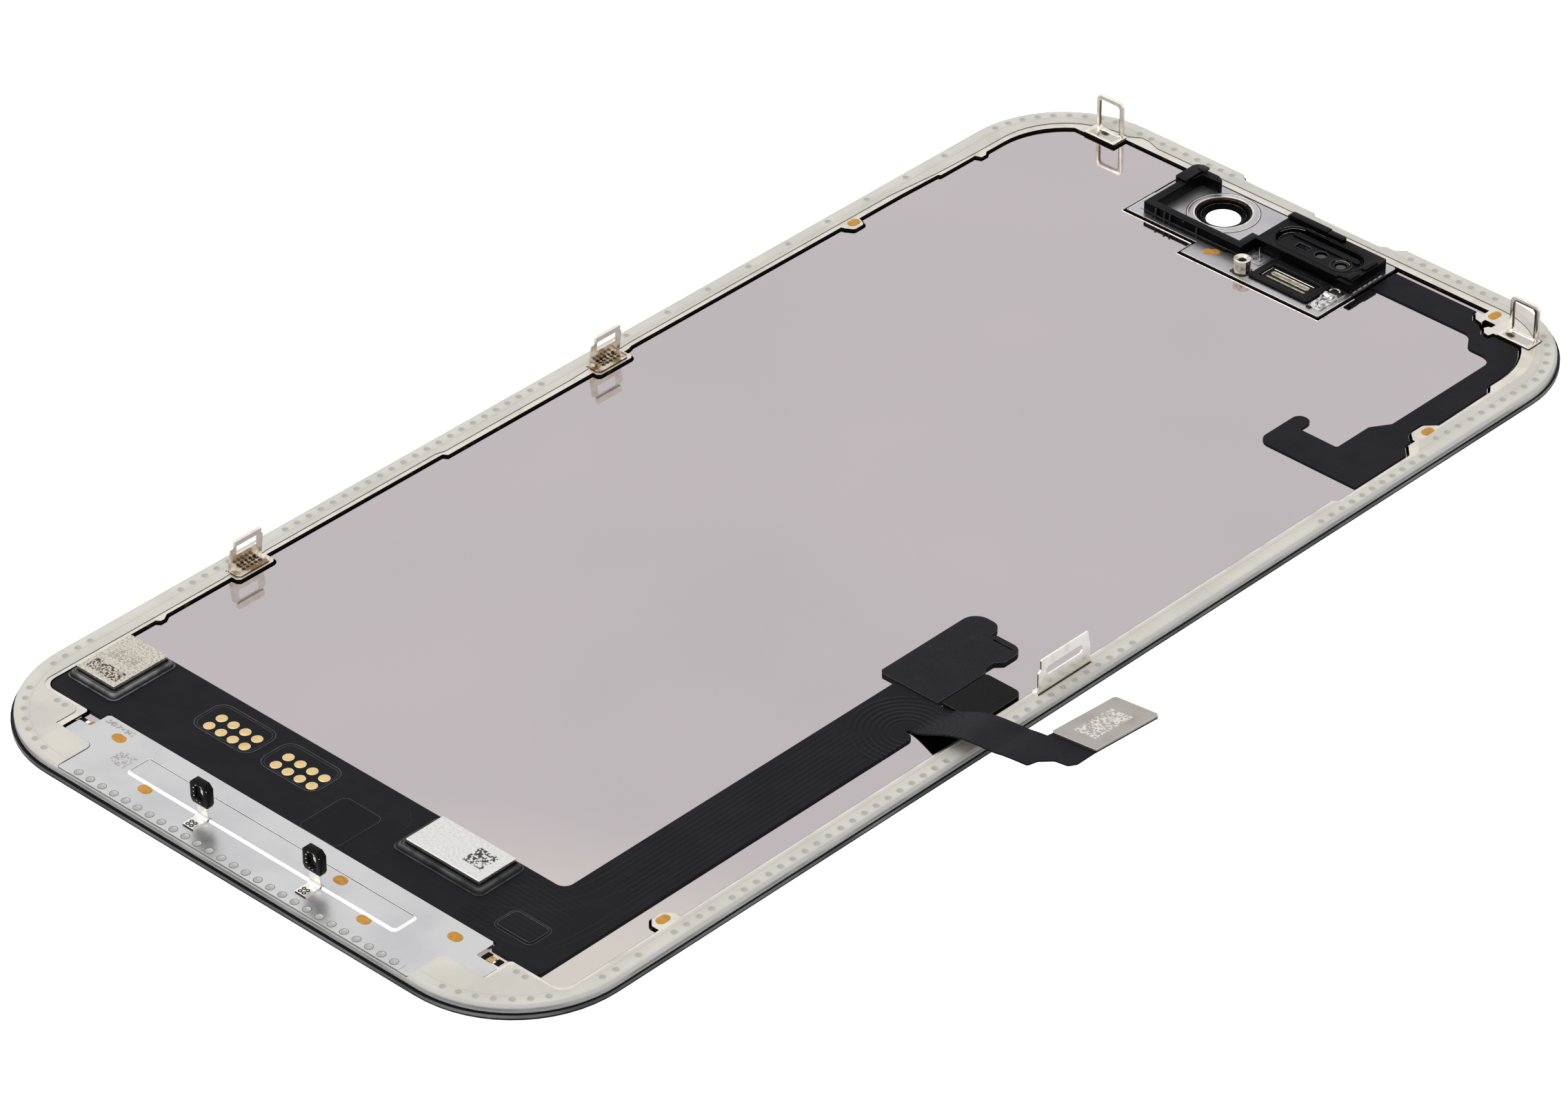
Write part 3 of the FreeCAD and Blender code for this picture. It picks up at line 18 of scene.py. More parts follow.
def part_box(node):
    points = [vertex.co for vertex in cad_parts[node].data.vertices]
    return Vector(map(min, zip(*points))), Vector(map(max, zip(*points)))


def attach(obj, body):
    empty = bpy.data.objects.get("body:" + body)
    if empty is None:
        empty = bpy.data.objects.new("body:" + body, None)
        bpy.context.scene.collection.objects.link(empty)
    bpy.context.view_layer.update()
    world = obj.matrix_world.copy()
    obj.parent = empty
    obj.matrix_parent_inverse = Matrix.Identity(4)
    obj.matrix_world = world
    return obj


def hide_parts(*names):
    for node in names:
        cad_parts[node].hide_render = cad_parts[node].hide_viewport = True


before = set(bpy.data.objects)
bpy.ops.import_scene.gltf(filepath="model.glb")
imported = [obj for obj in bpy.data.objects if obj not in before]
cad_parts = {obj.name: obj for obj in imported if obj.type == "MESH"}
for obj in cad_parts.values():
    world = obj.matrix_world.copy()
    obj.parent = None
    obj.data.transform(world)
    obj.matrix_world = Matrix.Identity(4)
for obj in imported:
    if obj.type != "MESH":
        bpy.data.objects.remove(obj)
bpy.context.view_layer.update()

MM = 0.001
GLASS_HALF = (34.9, 72.95)
GLASS_CORNER = 12.0
HOLDER_RISE = 1.22
LOOP_DEPTH = 0.3
# The way that painted edge highlights face.
LIGHT_WAY = (0.38, -0.42, 0.82)
# Metal faces turned away from this way get painted shade.
LIT_SIDE_WAY = (0.66, -0.75, 0.0)
WHITE = (1.0, 1.0, 1.0, 1.0)
EDGE = "edge"
LOG = logging.getLogger("display_assembly")

Colour = tuple[float, float, float, float]
Point = tuple[float, float]
Place = Sequence[float]
Spots = tuple[tuple[float, ...], ...]
Value = Union["Wire", float, Sequence[float]]


class Axis(Enum):
    """A direction of the part's own frame."""

    X = 0
    Y = 1
    Z = 2


class Side(Enum):
    """One of a pair of pieces: left is away from the plug, right is near it."""

    LEFT = "left"
    RIGHT = "right"


class Slot(Enum):
    """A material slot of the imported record."""

    FRAME = "frame_plastic"
    CONTACTS = "gold"
    FILM = "flex_film"
    MOULDING = "moulding_black"
    BRACKET = "bracket_steel"
    CLIPS = "clip_steel"
    CLUSTER = "cluster_steel"
    LENS = "lens"
    GRILLE = "grille"
    POST = "post_brass"
    FOAM = "foam"


def seen(red: int, green: int, blue: int) -> Colour:
    """Turn a colour as it looks on screen into the linear colour that a shader takes.

    Args:
        red: Red, 0 to 255.
        green: Green, 0 to 255.
        blue: Blue, 0 to 255.

    Returns:
        The linear colour with full alpha.
    """
    parts = [((c / 255 + 0.055) / 1.055) ** 2.4 if c > 10 else c / 255 / 12.92 for c in (red, green, blue)]
    return (parts[0], parts[1], parts[2], 1.0)


# Colour of the painted shade on metal faces turned away from the light.
PAINTED_SIDE_SHADE = seen(52, 48, 46)
# Painted near-black shade for walls in the dark gaps, and real brown patches on cut edges.
GAP_SHADE = seen(14, 11, 9)
CUT_BROWN = seen(84, 58, 34)


class Wire:
    """A shader socket that can stand in sums, products, differences and comparisons."""

    def __init__(self, graph: "Graph", socket: bpy.types.NodeSocket | None) -> None:
        """Keep the socket and the node tree that it belongs to."""
        self.graph = graph
        self.socket = socket

    def _maths(self, operation: str, first: Value, second: Value) -> "Wire":
        """Add one Math node for an operation on two values."""
        return self.graph.node("ShaderNodeMath", {"operation": operation}, {0: first, 1: second})

    def __add__(self, other: Value) -> "Wire":
        """Add a value."""
        return self._maths("ADD", self, other)

    def __radd__(self, other: Value) -> "Wire":
        """Add to a value."""
        return self._maths("ADD", other, self)

    def __sub__(self, other: Value) -> "Wire":
        """Take a value away."""
        return self._maths("SUBTRACT", self, other)

    def __rsub__(self, other: Value) -> "Wire":
        """Take this away from a value."""
        return self._maths("SUBTRACT", other, self)

    def __mul__(self, other: Value) -> "Wire":
        """Multiply by a value."""
        return self._maths("MULTIPLY", self, other)

    def __rmul__(self, other: Value) -> "Wire":
        """Multiply a value by this."""
        return self._maths("MULTIPLY", other, self)

    def __lt__(self, other: Value) -> "Wire":
        """Give 1 where this is below a value."""
        return self._maths("LESS_THAN", self, other)

    def __gt__(self, other: Value) -> "Wire":
        """Give 1 where this is above a value."""
        return self._maths("GREATER_THAN", self, other)

    def __abs__(self) -> "Wire":
        """Drop the sign."""
        return self._maths("ABSOLUTE", self, 0.0)


class Graph:
    """A node tree and the ways to add to it."""

    def __init__(self, tree: bpy.types.NodeTree) -> None:
        """Empty the tree."""
        self.tree = tree
        tree.nodes.clear()

    def node(
        self, kind: str, settings: dict | None = None, inputs: dict | None = None, output: int | str = 0
    ) -> Wire:
        """Add a node, set it and wire it.

        Args:
            kind: The node's type.
            settings: Its own settings, which are set first.
            inputs: Values or wires by socket name or number.
            output: The name or number of the socket that is wanted.

        Returns:
            The wire from that socket, an empty one for an output node.
        """
        made = self.tree.nodes.new(kind)
        for key, value in (settings or {}).items():
            setattr(made, key, value)
        for key, value in (inputs or {}).items():
            if isinstance(value, Wire):
                self.tree.links.new(value.socket, made.inputs[key])
            else:
                made.inputs[key].default_value = value
        return Wire(self, made.outputs[output] if made.outputs else None)

    def larger(self, first: Value, second: Value) -> Wire:
        """Give the larger of two values."""
        return self.node("ShaderNodeMath", {"operation": "MAXIMUM"}, {0: first, 1: second})

    def vector(self, operation: str, inputs: dict, output: int | str = 0) -> Wire:
        """Add a Vector Math node."""
        return self.node("ShaderNodeVectorMath", {"operation": operation}, inputs, output)


class Shader(Graph):
    """The nodes of one material, which end in a Principled shader."""

    def __init__(self, name: str) -> None:
        """Start an empty material.

        Args:
            name: The material's name.
        """
        self.material = bpy.data.materials.new(name)
        self.material.use_nodes = True
        super().__init__(self.material.node_tree)
        self._point: Wire | None = None

    def dress(self, **inputs: Value) -> bpy.types.Material:
        """Fill the Principled shader, with underscores for the spaces in its socket names.

        Args:
            **inputs: Values or wires by socket name.

        Returns:
            The finished material.
        """
        sockets = {key.replace("_", " "): value for key, value in inputs.items()}
        surface = self.node("ShaderNodeBsdfPrincipled", None, sockets)
        self.node("ShaderNodeOutputMaterial", None, {"Surface": surface})
        return self.material

    def point(self) -> Wire:
        """Give the place on the piece.

        Returns:
            Its wire, in millimetres.
        """
        if self._point is None:
            here = self.node("ShaderNodeTexCoord", output="Object")
            self._point = self.vector("SCALE", {0: here, "Scale": 1 / MM})
        return self._point

    def axis(self, axis: Axis) -> Wire:
        """Give one coordinate, in millimetres."""
        return self.node("ShaderNodeSeparateXYZ", None, {0: self.point()}, axis.value)

    def noise(self, scale: float, detail: float = 2.0, stretch: Sequence[float] = (1, 1, 1)) -> Wire:
        """Give a cloudy value from 0 to 1.

        Args:
            scale: Blotches per millimetre.
            detail: Octaves.
            stretch: How much finer it is along each axis.

        Returns:
            The noise's wire.
        """
        place = self.point()
        if tuple(stretch) != (1, 1, 1):
            place = self.node("ShaderNodeMapping", None, {"Vector": place, "Scale": stretch})
        return self.node("ShaderNodeTexNoise", None, {"Vector": place, "Scale": scale, "Detail": detail})

    def ramp(self, value: Wire, low: float, high: float, start: float = 0.0, end: float = 1.0) -> Wire:
        """Ease from one number to another as a value goes from low to high.

        Args:
            value: The value.
            low: Where the easing begins.
            high: Where it ends.
            start: The number at low.
            end: The number at high.

        Returns:
            The eased wire.
        """
        return self.node(
            "ShaderNodeMapRange",
            {"interpolation_type": "SMOOTHSTEP"},
            {"Value": value, "From Min": low, "From Max": high, "To Min": start, "To Max": end},
        )

    def mix(self, factor: Value, first: Value, second: Value) -> Wire:
        """Mix two colours."""
        inputs = {0: factor, 6: first, 7: second}
        return self.node("ShaderNodeMix", {"data_type": "RGBA"}, inputs, output=2)

    def inside(self, centre: Point, half: Point, soft: float = 0.05) -> Wire:
        """Give 1 within an upright box in plan, 0 outside.

        Args:
            centre: The box's middle.
            half: Half its size along X and Y.
            soft: Width of its blurred edge.

        Returns:
            The mask's wire.
        """
        across = self.ramp(abs(self.axis(Axis.X) - centre[0]), half[0] - soft, half[0] + soft, 1.0, 0.0)
        along = self.ramp(abs(self.axis(Axis.Y) - centre[1]), half[1] - soft, half[1] + soft, 1.0, 0.0)
        return across * along

    def facing(self) -> Wire:
        """Give the way that the surface faces."""
        return self.node("ShaderNodeTexCoord", output="Normal")

    def towards(self, way: Sequence[float], facing: Wire | None = None) -> Wire:
        """Give how far the surface faces a way, from -1 to 1."""
        return self.vector("DOT_PRODUCT", {0: facing or self.facing(), 1: way}, "Value")

    def upright(self) -> Wire:
        """Give how far the surface faces up or down, from 0 to 1."""
        return abs(self.node("ShaderNodeSeparateXYZ", None, {0: self.facing()}, Axis.Z.value))

    def shine(self, radius: float) -> Wire:
        """Give 1 along the edges that catch the light, 0 elsewhere, to paint highlights there.

        Args:
            radius: Width of the lit line in millimetres.

        Returns:
            The mask's wire.
        """
        soft = self.node("ShaderNodeBevel", {"samples": 8}, {"Radius": radius * MM})
        bent = self.ramp(self.towards(self.facing(), soft), 0.99, 0.86)
        return bent * self.ramp(self.towards(LIGHT_WAY, soft), 0.55, 0.9)

    def inwards(self) -> Wire:
        """Give the distance from the glass's outline inwards.

        Returns:
            Its wire, in millimetres.
        """
        half = [side - GLASS_CORNER for side in GLASS_HALF]
        past = [self.larger(abs(self.axis(axis)) - edge, 0.0) for axis, edge in zip((Axis.X, Axis.Y), half)]
        away = self.node("ShaderNodeCombineXYZ", None, {0: past[0], 1: past[1]})
        return GLASS_CORNER - self.vector("LENGTH", {0: away}, "Value")

    def cells(self, size: float) -> Wire:
        """Give one random value for each small square in plan."""
        place = self.vector("SNAP", {0: self.point(), 1: (size, size, 100.0)})
        return self.node("ShaderNodeTexWhiteNoise", {"noise_dimensions": "3D"}, {"Vector": place})

    def shaded_cut_edge(self) -> Wire:
        """Give the colour of an edge in the dark gap: painted near-black shade with brown patches."""
        return self.mix(self.ramp(self.noise(0.9, 4), 0.6, 0.72), GAP_SHADE, CUT_BROWN)

    def relief(self, height: Wire | None, depth: float, edge: float = 0.0) -> Wire:
        """Give a normal with a relief and softened edges.

        Args:
            height: Height from 0 to 1, or None for edges alone.
            depth: Depth of the relief in millimetres.
            edge: Radius in millimetres that the piece's edges seem to have.

        Returns:
            The normal's wire.
        """
        inputs: dict = {}
        if edge:
            normal = self.node("ShaderNodeBevel", {"samples": 6}, {"Radius": edge * MM})
            if height is None:
                return normal
            inputs["Normal"] = normal
        inputs.update({"Height": height, "Distance": depth * MM, "Strength": 1.0})
        return self.node("ShaderNodeBump", None, inputs)


class Finish(Protocol):
    """What every finish can do."""

    def build(self) -> bpy.types.Material:
        """Make the material."""


@dataclass(frozen=True)
class Plastic:
    """Moulded plastic or film: a colour with mottling, a fine grain, softened edges and, if glint is set,
    painted highlights on edges that catch the light.
    """

    name: str
    colour: Colour
    other: Colour
    roughness: float = 0.4
    specular: float = 0.3
    mottle: float = 0.4
    grain: float = 12.0
    depth: float = 0.004
    edge: float = 0.05
    coat: float = 0.0
    # Width of the painted highlight on edges that catch the light; 0 for none.
    glint: float = 0.0
    glint_colour: Colour = seen(150, 150, 152)

    def tint(self, s: Shader, colour: Wire) -> Wire:
        """Paint highlights on the edges that catch the light.

        Args:
            s: The material's nodes.
            colour: Its colour so far.

        Returns:
            The lit colour.
        """
        if not self.glint:
            return colour
        lit = s.shine(self.glint) * s.ramp(s.noise(2.0, 3), 0.3, 0.6, 0.35, 1.0)
        return s.mix(lit, colour, self.glint_colour)

    def build(self) -> bpy.types.Material:
        """Make the material.

        Returns:
            The material.
        """
        s = Shader(self.name)
        patches = s.ramp(s.noise(self.mottle, 3), 0.35, 0.65)
        fine = s.noise(self.grain, 2)
        colour = self.tint(s, s.mix(patches, self.colour, self.other))
        return s.dress(
            Base_Color=colour,
            Roughness=self.roughness + (fine - 0.5) * 0.16,
            Specular_IOR_Level=self.specular,
            Coat_Weight=self.coat,
            Coat_Roughness=0.15,
            Normal=s.relief(fine, self.depth, self.edge),
        )


@dataclass(frozen=True)
class SteppedPlastic(Plastic):
    """Moulded plastic whose flat tops are painted lighter than its walls, as lit from above."""

    # Painted light on the flat tops.
    flat: Colour = seen(33, 33, 35)

    def tint(self, s: Shader, colour: Wire) -> Wire:
        """Paint light on the flat tops, then highlights on the edges that catch the light."""
        return super().tint(s, s.mix(s.ramp(s.upright(), 0.6, 0.95), colour, self.flat))


@dataclass(frozen=True)
class BulgedPlastic(Plastic):
    """Moulded plastic whose slopes get a painted soft sheen."""

    # Colour of the painted sheen on the slopes; strength sets how much.
    painted_sheen: Colour = seen(158, 158, 160)
    strength: float = 0.8

    def tint(self, s: Shader, colour: Wire) -> Wire:
        """Paint a sheen on the slopes and highlights on the edges.

        Args:
            s: The material's nodes.
            colour: Its colour so far.

        Returns:
            The lit colour.
        """
        up = s.upright()
        slope = s.ramp(up, 0.42, 0.8) * s.ramp(up, 0.998, 0.95)
        cloudy = s.ramp(s.noise(0.7, 3), 0.32, 0.62, 0.3, 1.0)
        return s.mix(slope * cloudy * self.strength, super().tint(s, colour), self.painted_sheen)


@dataclass(frozen=True)
class Metal:
    """Bare or plated sheet: a colour with cloudy tarnish, a rolled grain, softened edges, and optional
    painted shade on faces turned away from the light and painted highlights on lit edges.
    """

    name: str
    colour: Colour
    tarnish: Colour
    roughness: float = 0.2
    mottle: float = 0.5
    grain: float = 6.0
    stretch: tuple[float, float, float] = (1.0, 1.0, 1.0)
    depth: float = 0.003
    edge: float = 0.04
    # Strength of the painted shade on faces turned away from the light.
    away: float = 0.0
    # Width of the painted highlight on lit edges.
    glint: float = 0.0

    def start(self) -> tuple[Shader, Wire, Wire]:
        """Begin the material.

        Returns:
            The shader, its base colour and its fine grain.
        """
        s = Shader(self.name)
        clouds = s.ramp(s.noise(self.mottle, 4), 0.4, 0.75)
        fine = s.noise(self.grain, 3, self.stretch)
        colour = s.mix(clouds, self.colour, self.tarnish)
        # Painted shade on faces turned away from the light.
        if self.away:
            turned = s.ramp(s.towards(LIT_SIDE_WAY), -0.1, -0.7) * self.away
            colour = s.mix(turned, colour, PAINTED_SIDE_SHADE)
        # Painted white highlight on edges that catch the light.
        if self.glint:
            colour = s.mix(s.shine(self.glint), colour, WHITE)
        return s, colour, fine

    def finish(self, s: Shader, colour: Wire, fine: Wire) -> bpy.types.Material:
        """Fill the shader.

        Args:
            s: The material's nodes.
            colour: Its base colour.
            fine: Its fine grain.

        Returns:
            The material.
        """
        return s.dress(
            Base_Color=colour,
            Metallic=1.0,
            Roughness=self.roughness + (fine - 0.5) * 0.12,
            Normal=s.relief(fine, self.depth, self.edge),
        )

    def build(self) -> bpy.types.Material:
        """Make the material."""
        return self.finish(*self.start())


@dataclass(frozen=True)
class TintedMetal(Metal):
    """Plated sheet with brown heat colour low down, where it is welded."""

    tint: Colour = seen(150, 112, 78)
    low: float = 1.5
    high: float = 3.0

    def build(self) -> bpy.types.Material:
        """Make the material.

        Returns:
            The material.
        """
        s, colour, fine = self.start()
        rise = s.ramp(s.axis(Axis.Z), self.low, self.high, 1.0, 0.0)
        brown_tint_and_shade = rise * s.ramp(s.noise(1.1, 3), 0.42, 0.62)
        return self.finish(s, s.mix(brown_tint_and_shade, colour, self.tint), fine)


@dataclass(frozen=True)
class LoopMetal(Metal):
    """A bent band with painted brown shade on the inner side of its left post, and greyer on its foot."""

    middle: float = 0.0
    # Colour of the painted brown shade on the inner side of the left post.
    brown_tint_and_shade: Colour = seen(92, 64, 44)
    foot: Colour = seen(184, 178, 175)

    def build(self) -> bpy.types.Material:
        """Make the material.

        Returns:
            The material.
        """
        s, colour, fine = self.start()
        # Inner faces of the left post, high up, get the painted brown shade.
        inner = s.ramp(s.towards((1.0, 0.0, 0.0)), 0.55, 0.9) * (s.axis(Axis.X) < self.middle)
        above = s.ramp(s.axis(Axis.Z), 1.6, 1.9)
        flat = s.ramp(s.upright(), 0.9, 0.98) * s.ramp(s.axis(Axis.Z), 1.5, 1.58, 1.0, 0.0)
        colour = s.mix(flat * 0.8, colour, self.foot)
        return self.finish(s, s.mix(inner * above * 0.85, colour, self.brown_tint_and_shade), fine)


@dataclass(frozen=True)
class EtchedMetal(Metal):
    """A sheet with small patches of etched specks, which spell nothing."""

    places: tuple[tuple[Point, Point, float], ...] = ()
    speck: float = 0.17
    ink: Colour = seen(95, 88, 80)
    share: float = 0.5

    def build(self) -> bpy.types.Material:
        """Make the material.

        Returns:
            The material.
        """
        s, colour, fine = self.start()
        within: Value = 0.0
        for centre, half, strength in self.places:
            within = s.inside(centre, half, 0.02) * strength + within
        worn = (s.cells(self.speck) < self.share) * within * s.ramp(s.noise(2.5, 3), 0.3, 0.5)
        return self.finish(s, s.mix(worn, colour, self.ink), fine)


@dataclass(frozen=True)
class MirrorPlate:
    """The display's polished back, faintly mauve, with a painted reflection that turns warmer towards its
    lower right corner.
    """

    name: str = "mirror_plate"
    colour: Colour = seen(192, 184, 187)
    other: Colour = seen(188, 181, 183)
    # Colour of the painted reflection in the lower right corner.
    warm: Colour = seen(214, 206, 198)

    def build(self) -> bpy.types.Material:
        """Make the material.

        Returns:
            The material.
        """
        s = Shader(self.name)
        clouds = s.ramp(s.noise(0.03, 2), 0.3, 0.7)
        # Painted reflection, growing towards the lower right corner.
        corner = s.ramp(s.axis(Axis.X) * 0.5 - s.axis(Axis.Y), 52.0, 76.0)
        base = s.mix(corner * 0.9, s.mix(clouds, self.colour, self.other), self.warm)
        return s.dress(
            Base_Color=base,
            Metallic=1.0,
            Roughness=0.035 + s.noise(0.2, 3) * 0.03,
            Normal=s.relief(s.noise(0.05, 2), 0.01, 0.03),
        )


@dataclass(frozen=True)
class FrameCream:
    """The frame's translucent cream plastic: a fine step on top, grey outer walls, and inner walls painted
    near black as shade in the gap.
    """

    name: str = "frame_cream"
    top: Colour = seen(232, 228, 217)
    other: Colour = seen(222, 219, 208)
    wall: Colour = seen(208, 208, 205)
    foot: Colour = seen(146, 147, 148)
    rim: Colour = seen(203, 204, 203)
    step: float = 1.72

    def build(self) -> bpy.types.Material:
        """Make the material.

        Returns:
            The material.
        """
        s = Shader(self.name)
        side = s.ramp(s.upright(), 0.25, 0.75, 1.0, 0.0)
        inwards = s.inwards()
        base = s.mix(s.ramp(s.noise(0.25, 3), 0.35, 0.7), self.top, self.other)
        cloudy = s.ramp(s.noise(0.15, 3, (1, 1, 4)), 0.3, 0.6)
        seam = s.ramp(abs(s.axis(Axis.Z) - 1.02), 0.04, 0.2, 1.0, 0.0) * cloudy
        wall = s.mix(seam, self.wall, self.foot)
        # Inner walls get the painted near-black gap shade, with brown patches.
        sides = s.mix(s.ramp(inwards, 0.9, 1.1), wall, s.shaded_cut_edge())
        rim = s.ramp(inwards, 0.25, 0.75, 0.7, 0.0)
        fine = s.noise(5.0, 3)
        line = s.ramp(abs(inwards - self.step), 0.0, 0.12, 1.0, 0.0)
        top = s.mix(rim, s.mix(line * 0.15, base, self.foot), self.rim)
        return s.dress(
            Base_Color=s.mix(side, top, sides),
            Roughness=0.3 + fine * 0.12,
            Specular_IOR_Level=0.3,
            Subsurface_Weight=0.1,
            Subsurface_Radius=(0.0009, 0.0008, 0.0006),
            Subsurface_Scale=1.0,
            Normal=s.relief(fine - line, 0.02, 0.07),
        )


@dataclass(frozen=True)
class BareRim(Metal):
    """The stamped rim: bright on top, and its walls painted near black as shade of the dark gap, with brown
    patches.
    """

    def build(self) -> bpy.types.Material:
        """Make the material.

        Returns:
            The material.
        """
        s, colour, fine = self.start()
        # Walls get the painted near-black gap shade, with brown patches.
        side = s.ramp(s.upright(), 0.3, 0.8, 1.0, 0.0)
        return s.dress(
            Base_Color=s.mix(side, colour, s.shaded_cut_edge()),
            Metallic=1.0 - side,
            Roughness=self.roughness + (fine - 0.5) * 0.12,
            Specular_IOR_Level=0.1,
            Normal=s.relief(fine, self.depth, 0.0),
        )


@dataclass(frozen=True)
class CircuitFilm:
    """The flat circuit's blue-black cover film, with the copper traces just showing as relief."""

    name: str = "circuit_film"
    colour: Colour = seen(22, 22, 27)
    other: Colour = seen(28, 27, 32)
    turn: Point = (28.45, -18.4)
    pitch: float = 0.55

    def build(self) -> bpy.types.Material:
        """Make the material.

        Returns:
            The material.
        """
        s = Shader(self.name)
        flat = s.vector("MULTIPLY", {0: s.point(), 1: (1, 1, 0)})
        away = s.vector("DISTANCE", {0: flat, 1: (*self.turn, 0.0)}, "Value")
        ring = self._lines(s, away) * s.ramp(away, 5.2, 5.6, 1.0, 0.0) * s.ramp(away, 1.2, 1.4)
        trunk = self._lines(s, s.axis(Axis.X)) * s.inside((26.4, -37.0), (3.2, 15.0), 1.0)
        band = self._lines(s, s.axis(Axis.Y)) * s.inside((21.5, -60.0), (4.0, 4.5), 1.5)
        waves = s.noise(0.9, 4) * 0.5
        height = ring + trunk * 0.45 + band * 0.45 + waves
        patches = s.ramp(s.noise(0.3, 3), 0.35, 0.7)
        return s.dress(
            Base_Color=s.mix(patches, self.colour, self.other),
            Roughness=0.4 + s.noise(4.0, 3) * 0.14,
            Specular_IOR_Level=0.07,
            Normal=s.relief(height, 0.04, 0.05),
        )

    def _lines(self, s: Shader, value: Wire) -> Wire:
        """Give even ridges along a value."""
        turns = value * (2 * math.pi / self.pitch)
        return s.node("ShaderNodeMath", {"operation": "SINE"}, {0: turns}) * 0.5 + 0.5


@dataclass(frozen=True)
class Dish:
    """A small mark whose colour fades to that of what it lies on, and which looks sunk."""

    name: str
    centre: Colour
    rim: Colour
    roughness: float = 0.4
    specular: float = 0.3
    metallic: float = 0.0
    depth: float = 0.12

    def build(self) -> bpy.types.Material:
        """Make the material.

        Returns:
            The material.
        """
        s = Shader(self.name)
        edge = s.node("ShaderNodeAttribute", {"attribute_name": EDGE}, output="Fac")
        ragged = edge + (s.noise(6.0, 2) - 0.5) * 0.25
        return s.dress(
            Base_Color=s.mix(s.ramp(ragged, 0.45, 0.95), self.centre, self.rim),
            Roughness=self.roughness,
            Metallic=self.metallic,
            Specular_IOR_Level=self.specular,
            Normal=s.relief(ragged, self.depth),
        )


@dataclass(frozen=True)
class BlackGlass:
    """The cover glass, black from the print on its inner side, with a painted grey highlight on the upper
    part of its sides.
    """

    name: str = "black_glass"
    colour: Colour = seen(12, 12, 13)
    # Colour of the painted highlight on the sides.
    edge: Colour = seen(132, 133, 136)

    def build(self) -> bpy.types.Material:
        """Make the material.

        Returns:
            The material.
        """
        s = Shader(self.name)
        cloudy = s.ramp(s.noise(0.12, 3, (1, 1, 4)), 0.3, 0.65, 0.35, 1.0)
        # Painted grey highlight on the sides above 0.3 mm, cloudy.
        rim = s.ramp(s.upright(), 0.1, 0.6, 1.0, 0.0) * s.ramp(s.axis(Axis.Z), 0.3, 0.46) * cloudy
        return s.dress(
            Base_Color=s.mix(rim, self.colour, self.edge),
            Roughness=0.05 + s.noise(0.3, 3) * 0.05,
            Specular_IOR_Level=0.12,
            Normal=s.relief(None, 0.0, 0.1),
        )


@dataclass(frozen=True)
class GlowingWindow:
    """The camera's clear spot, painted as a glow that stands in for the pale ground seen through it."""

    name: str = "glowing_window"
    colour: Colour = WHITE
    other: Colour = (0.9, 0.93, 0.95, 1.0)

    def build(self) -> bpy.types.Material:
        """Make the material.

        Returns:
            The material.
        """
        s = Shader(self.name)
        colour = s.mix(s.noise(0.6, 2) * 0.02, self.colour, self.other)
        # The emission is a painted glow, not a lamp.
        return s.dress(Base_Color=colour, Emission_Color=colour, Emission_Strength=0.8, Roughness=0.08)


MOULDED = SteppedPlastic(
    "moulded_black", seen(6, 6, 7), seen(10, 10, 11), roughness=0.32, specular=0.04, mottle=0.8, grain=14.0,
    depth=0.005, edge=0.07, glint=0.07, glint_colour=seen(165, 165, 167),
)
LEDGE = Plastic(
    "ledge_black", seen(56, 56, 58), seen(36, 36, 38), roughness=0.3, specular=0.12, mottle=1.5, grain=8.0,
    depth=0.01, edge=0.0, glint=0.04,
)
# The skirts get a painted sheen on their slopes, stronger on the left one.
SKIRT_SOFT = BulgedPlastic(
    "skirt_painted_sheen", seen(12, 12, 14), seen(16, 16, 18), roughness=0.2, specular=0.15, mottle=0.7, grain=6.0,
    edge=0.0, glint=0.05, strength=0.85,
)
SKIRT = replace(SKIRT_SOFT, name="skirt_black", strength=0.3)
BAFFLE = Plastic(
    "baffle_black", seen(5, 5, 6), seen(9, 9, 10), roughness=0.45, specular=0.02, mottle=0.8, grain=14.0,
    edge=0.0,
)
EYES = Plastic(
    "eye_black", seen(7, 7, 8), seen(12, 12, 12), roughness=0.22, specular=0.08, mottle=2.0, grain=5.0,
    depth=0.03, edge=0.0, glint=0.09, glint_colour=seen(215, 215, 216),
)
TAPE = Plastic(
    "grained_tape", seen(21, 21, 25), seen(26, 26, 30), roughness=0.55, specular=0.12, mottle=0.5, grain=22.0,
    depth=0.03, edge=0.03, glint=0.05,
)
FOAM = Plastic(
    "black_foam", seen(14, 14, 15), seen(18, 18, 19), roughness=0.6, specular=0.1, mottle=2.0, grain=9.0,
    depth=0.02, glint=0.05,
)
PATCH = Plastic(
    "film_patch", seen(17, 16, 20), seen(20, 20, 23), roughness=0.5, specular=0.08, mottle=0.5, grain=10.0,
    edge=0.0,
)
LINE = Plastic(
    "film_line", seen(92, 91, 98), seen(70, 69, 76), roughness=0.35, mottle=1.2, grain=6.0, edge=0.0,
)
CREASE = Plastic(
    "film_crease", seen(46, 45, 51), seen(34, 33, 38), roughness=0.35, specular=0.1, mottle=0.6, grain=6.0,
    edge=0.0,
)
PANEL = Plastic("panel_black", seen(14, 14, 15), seen(18, 18, 19), specular=0.25)
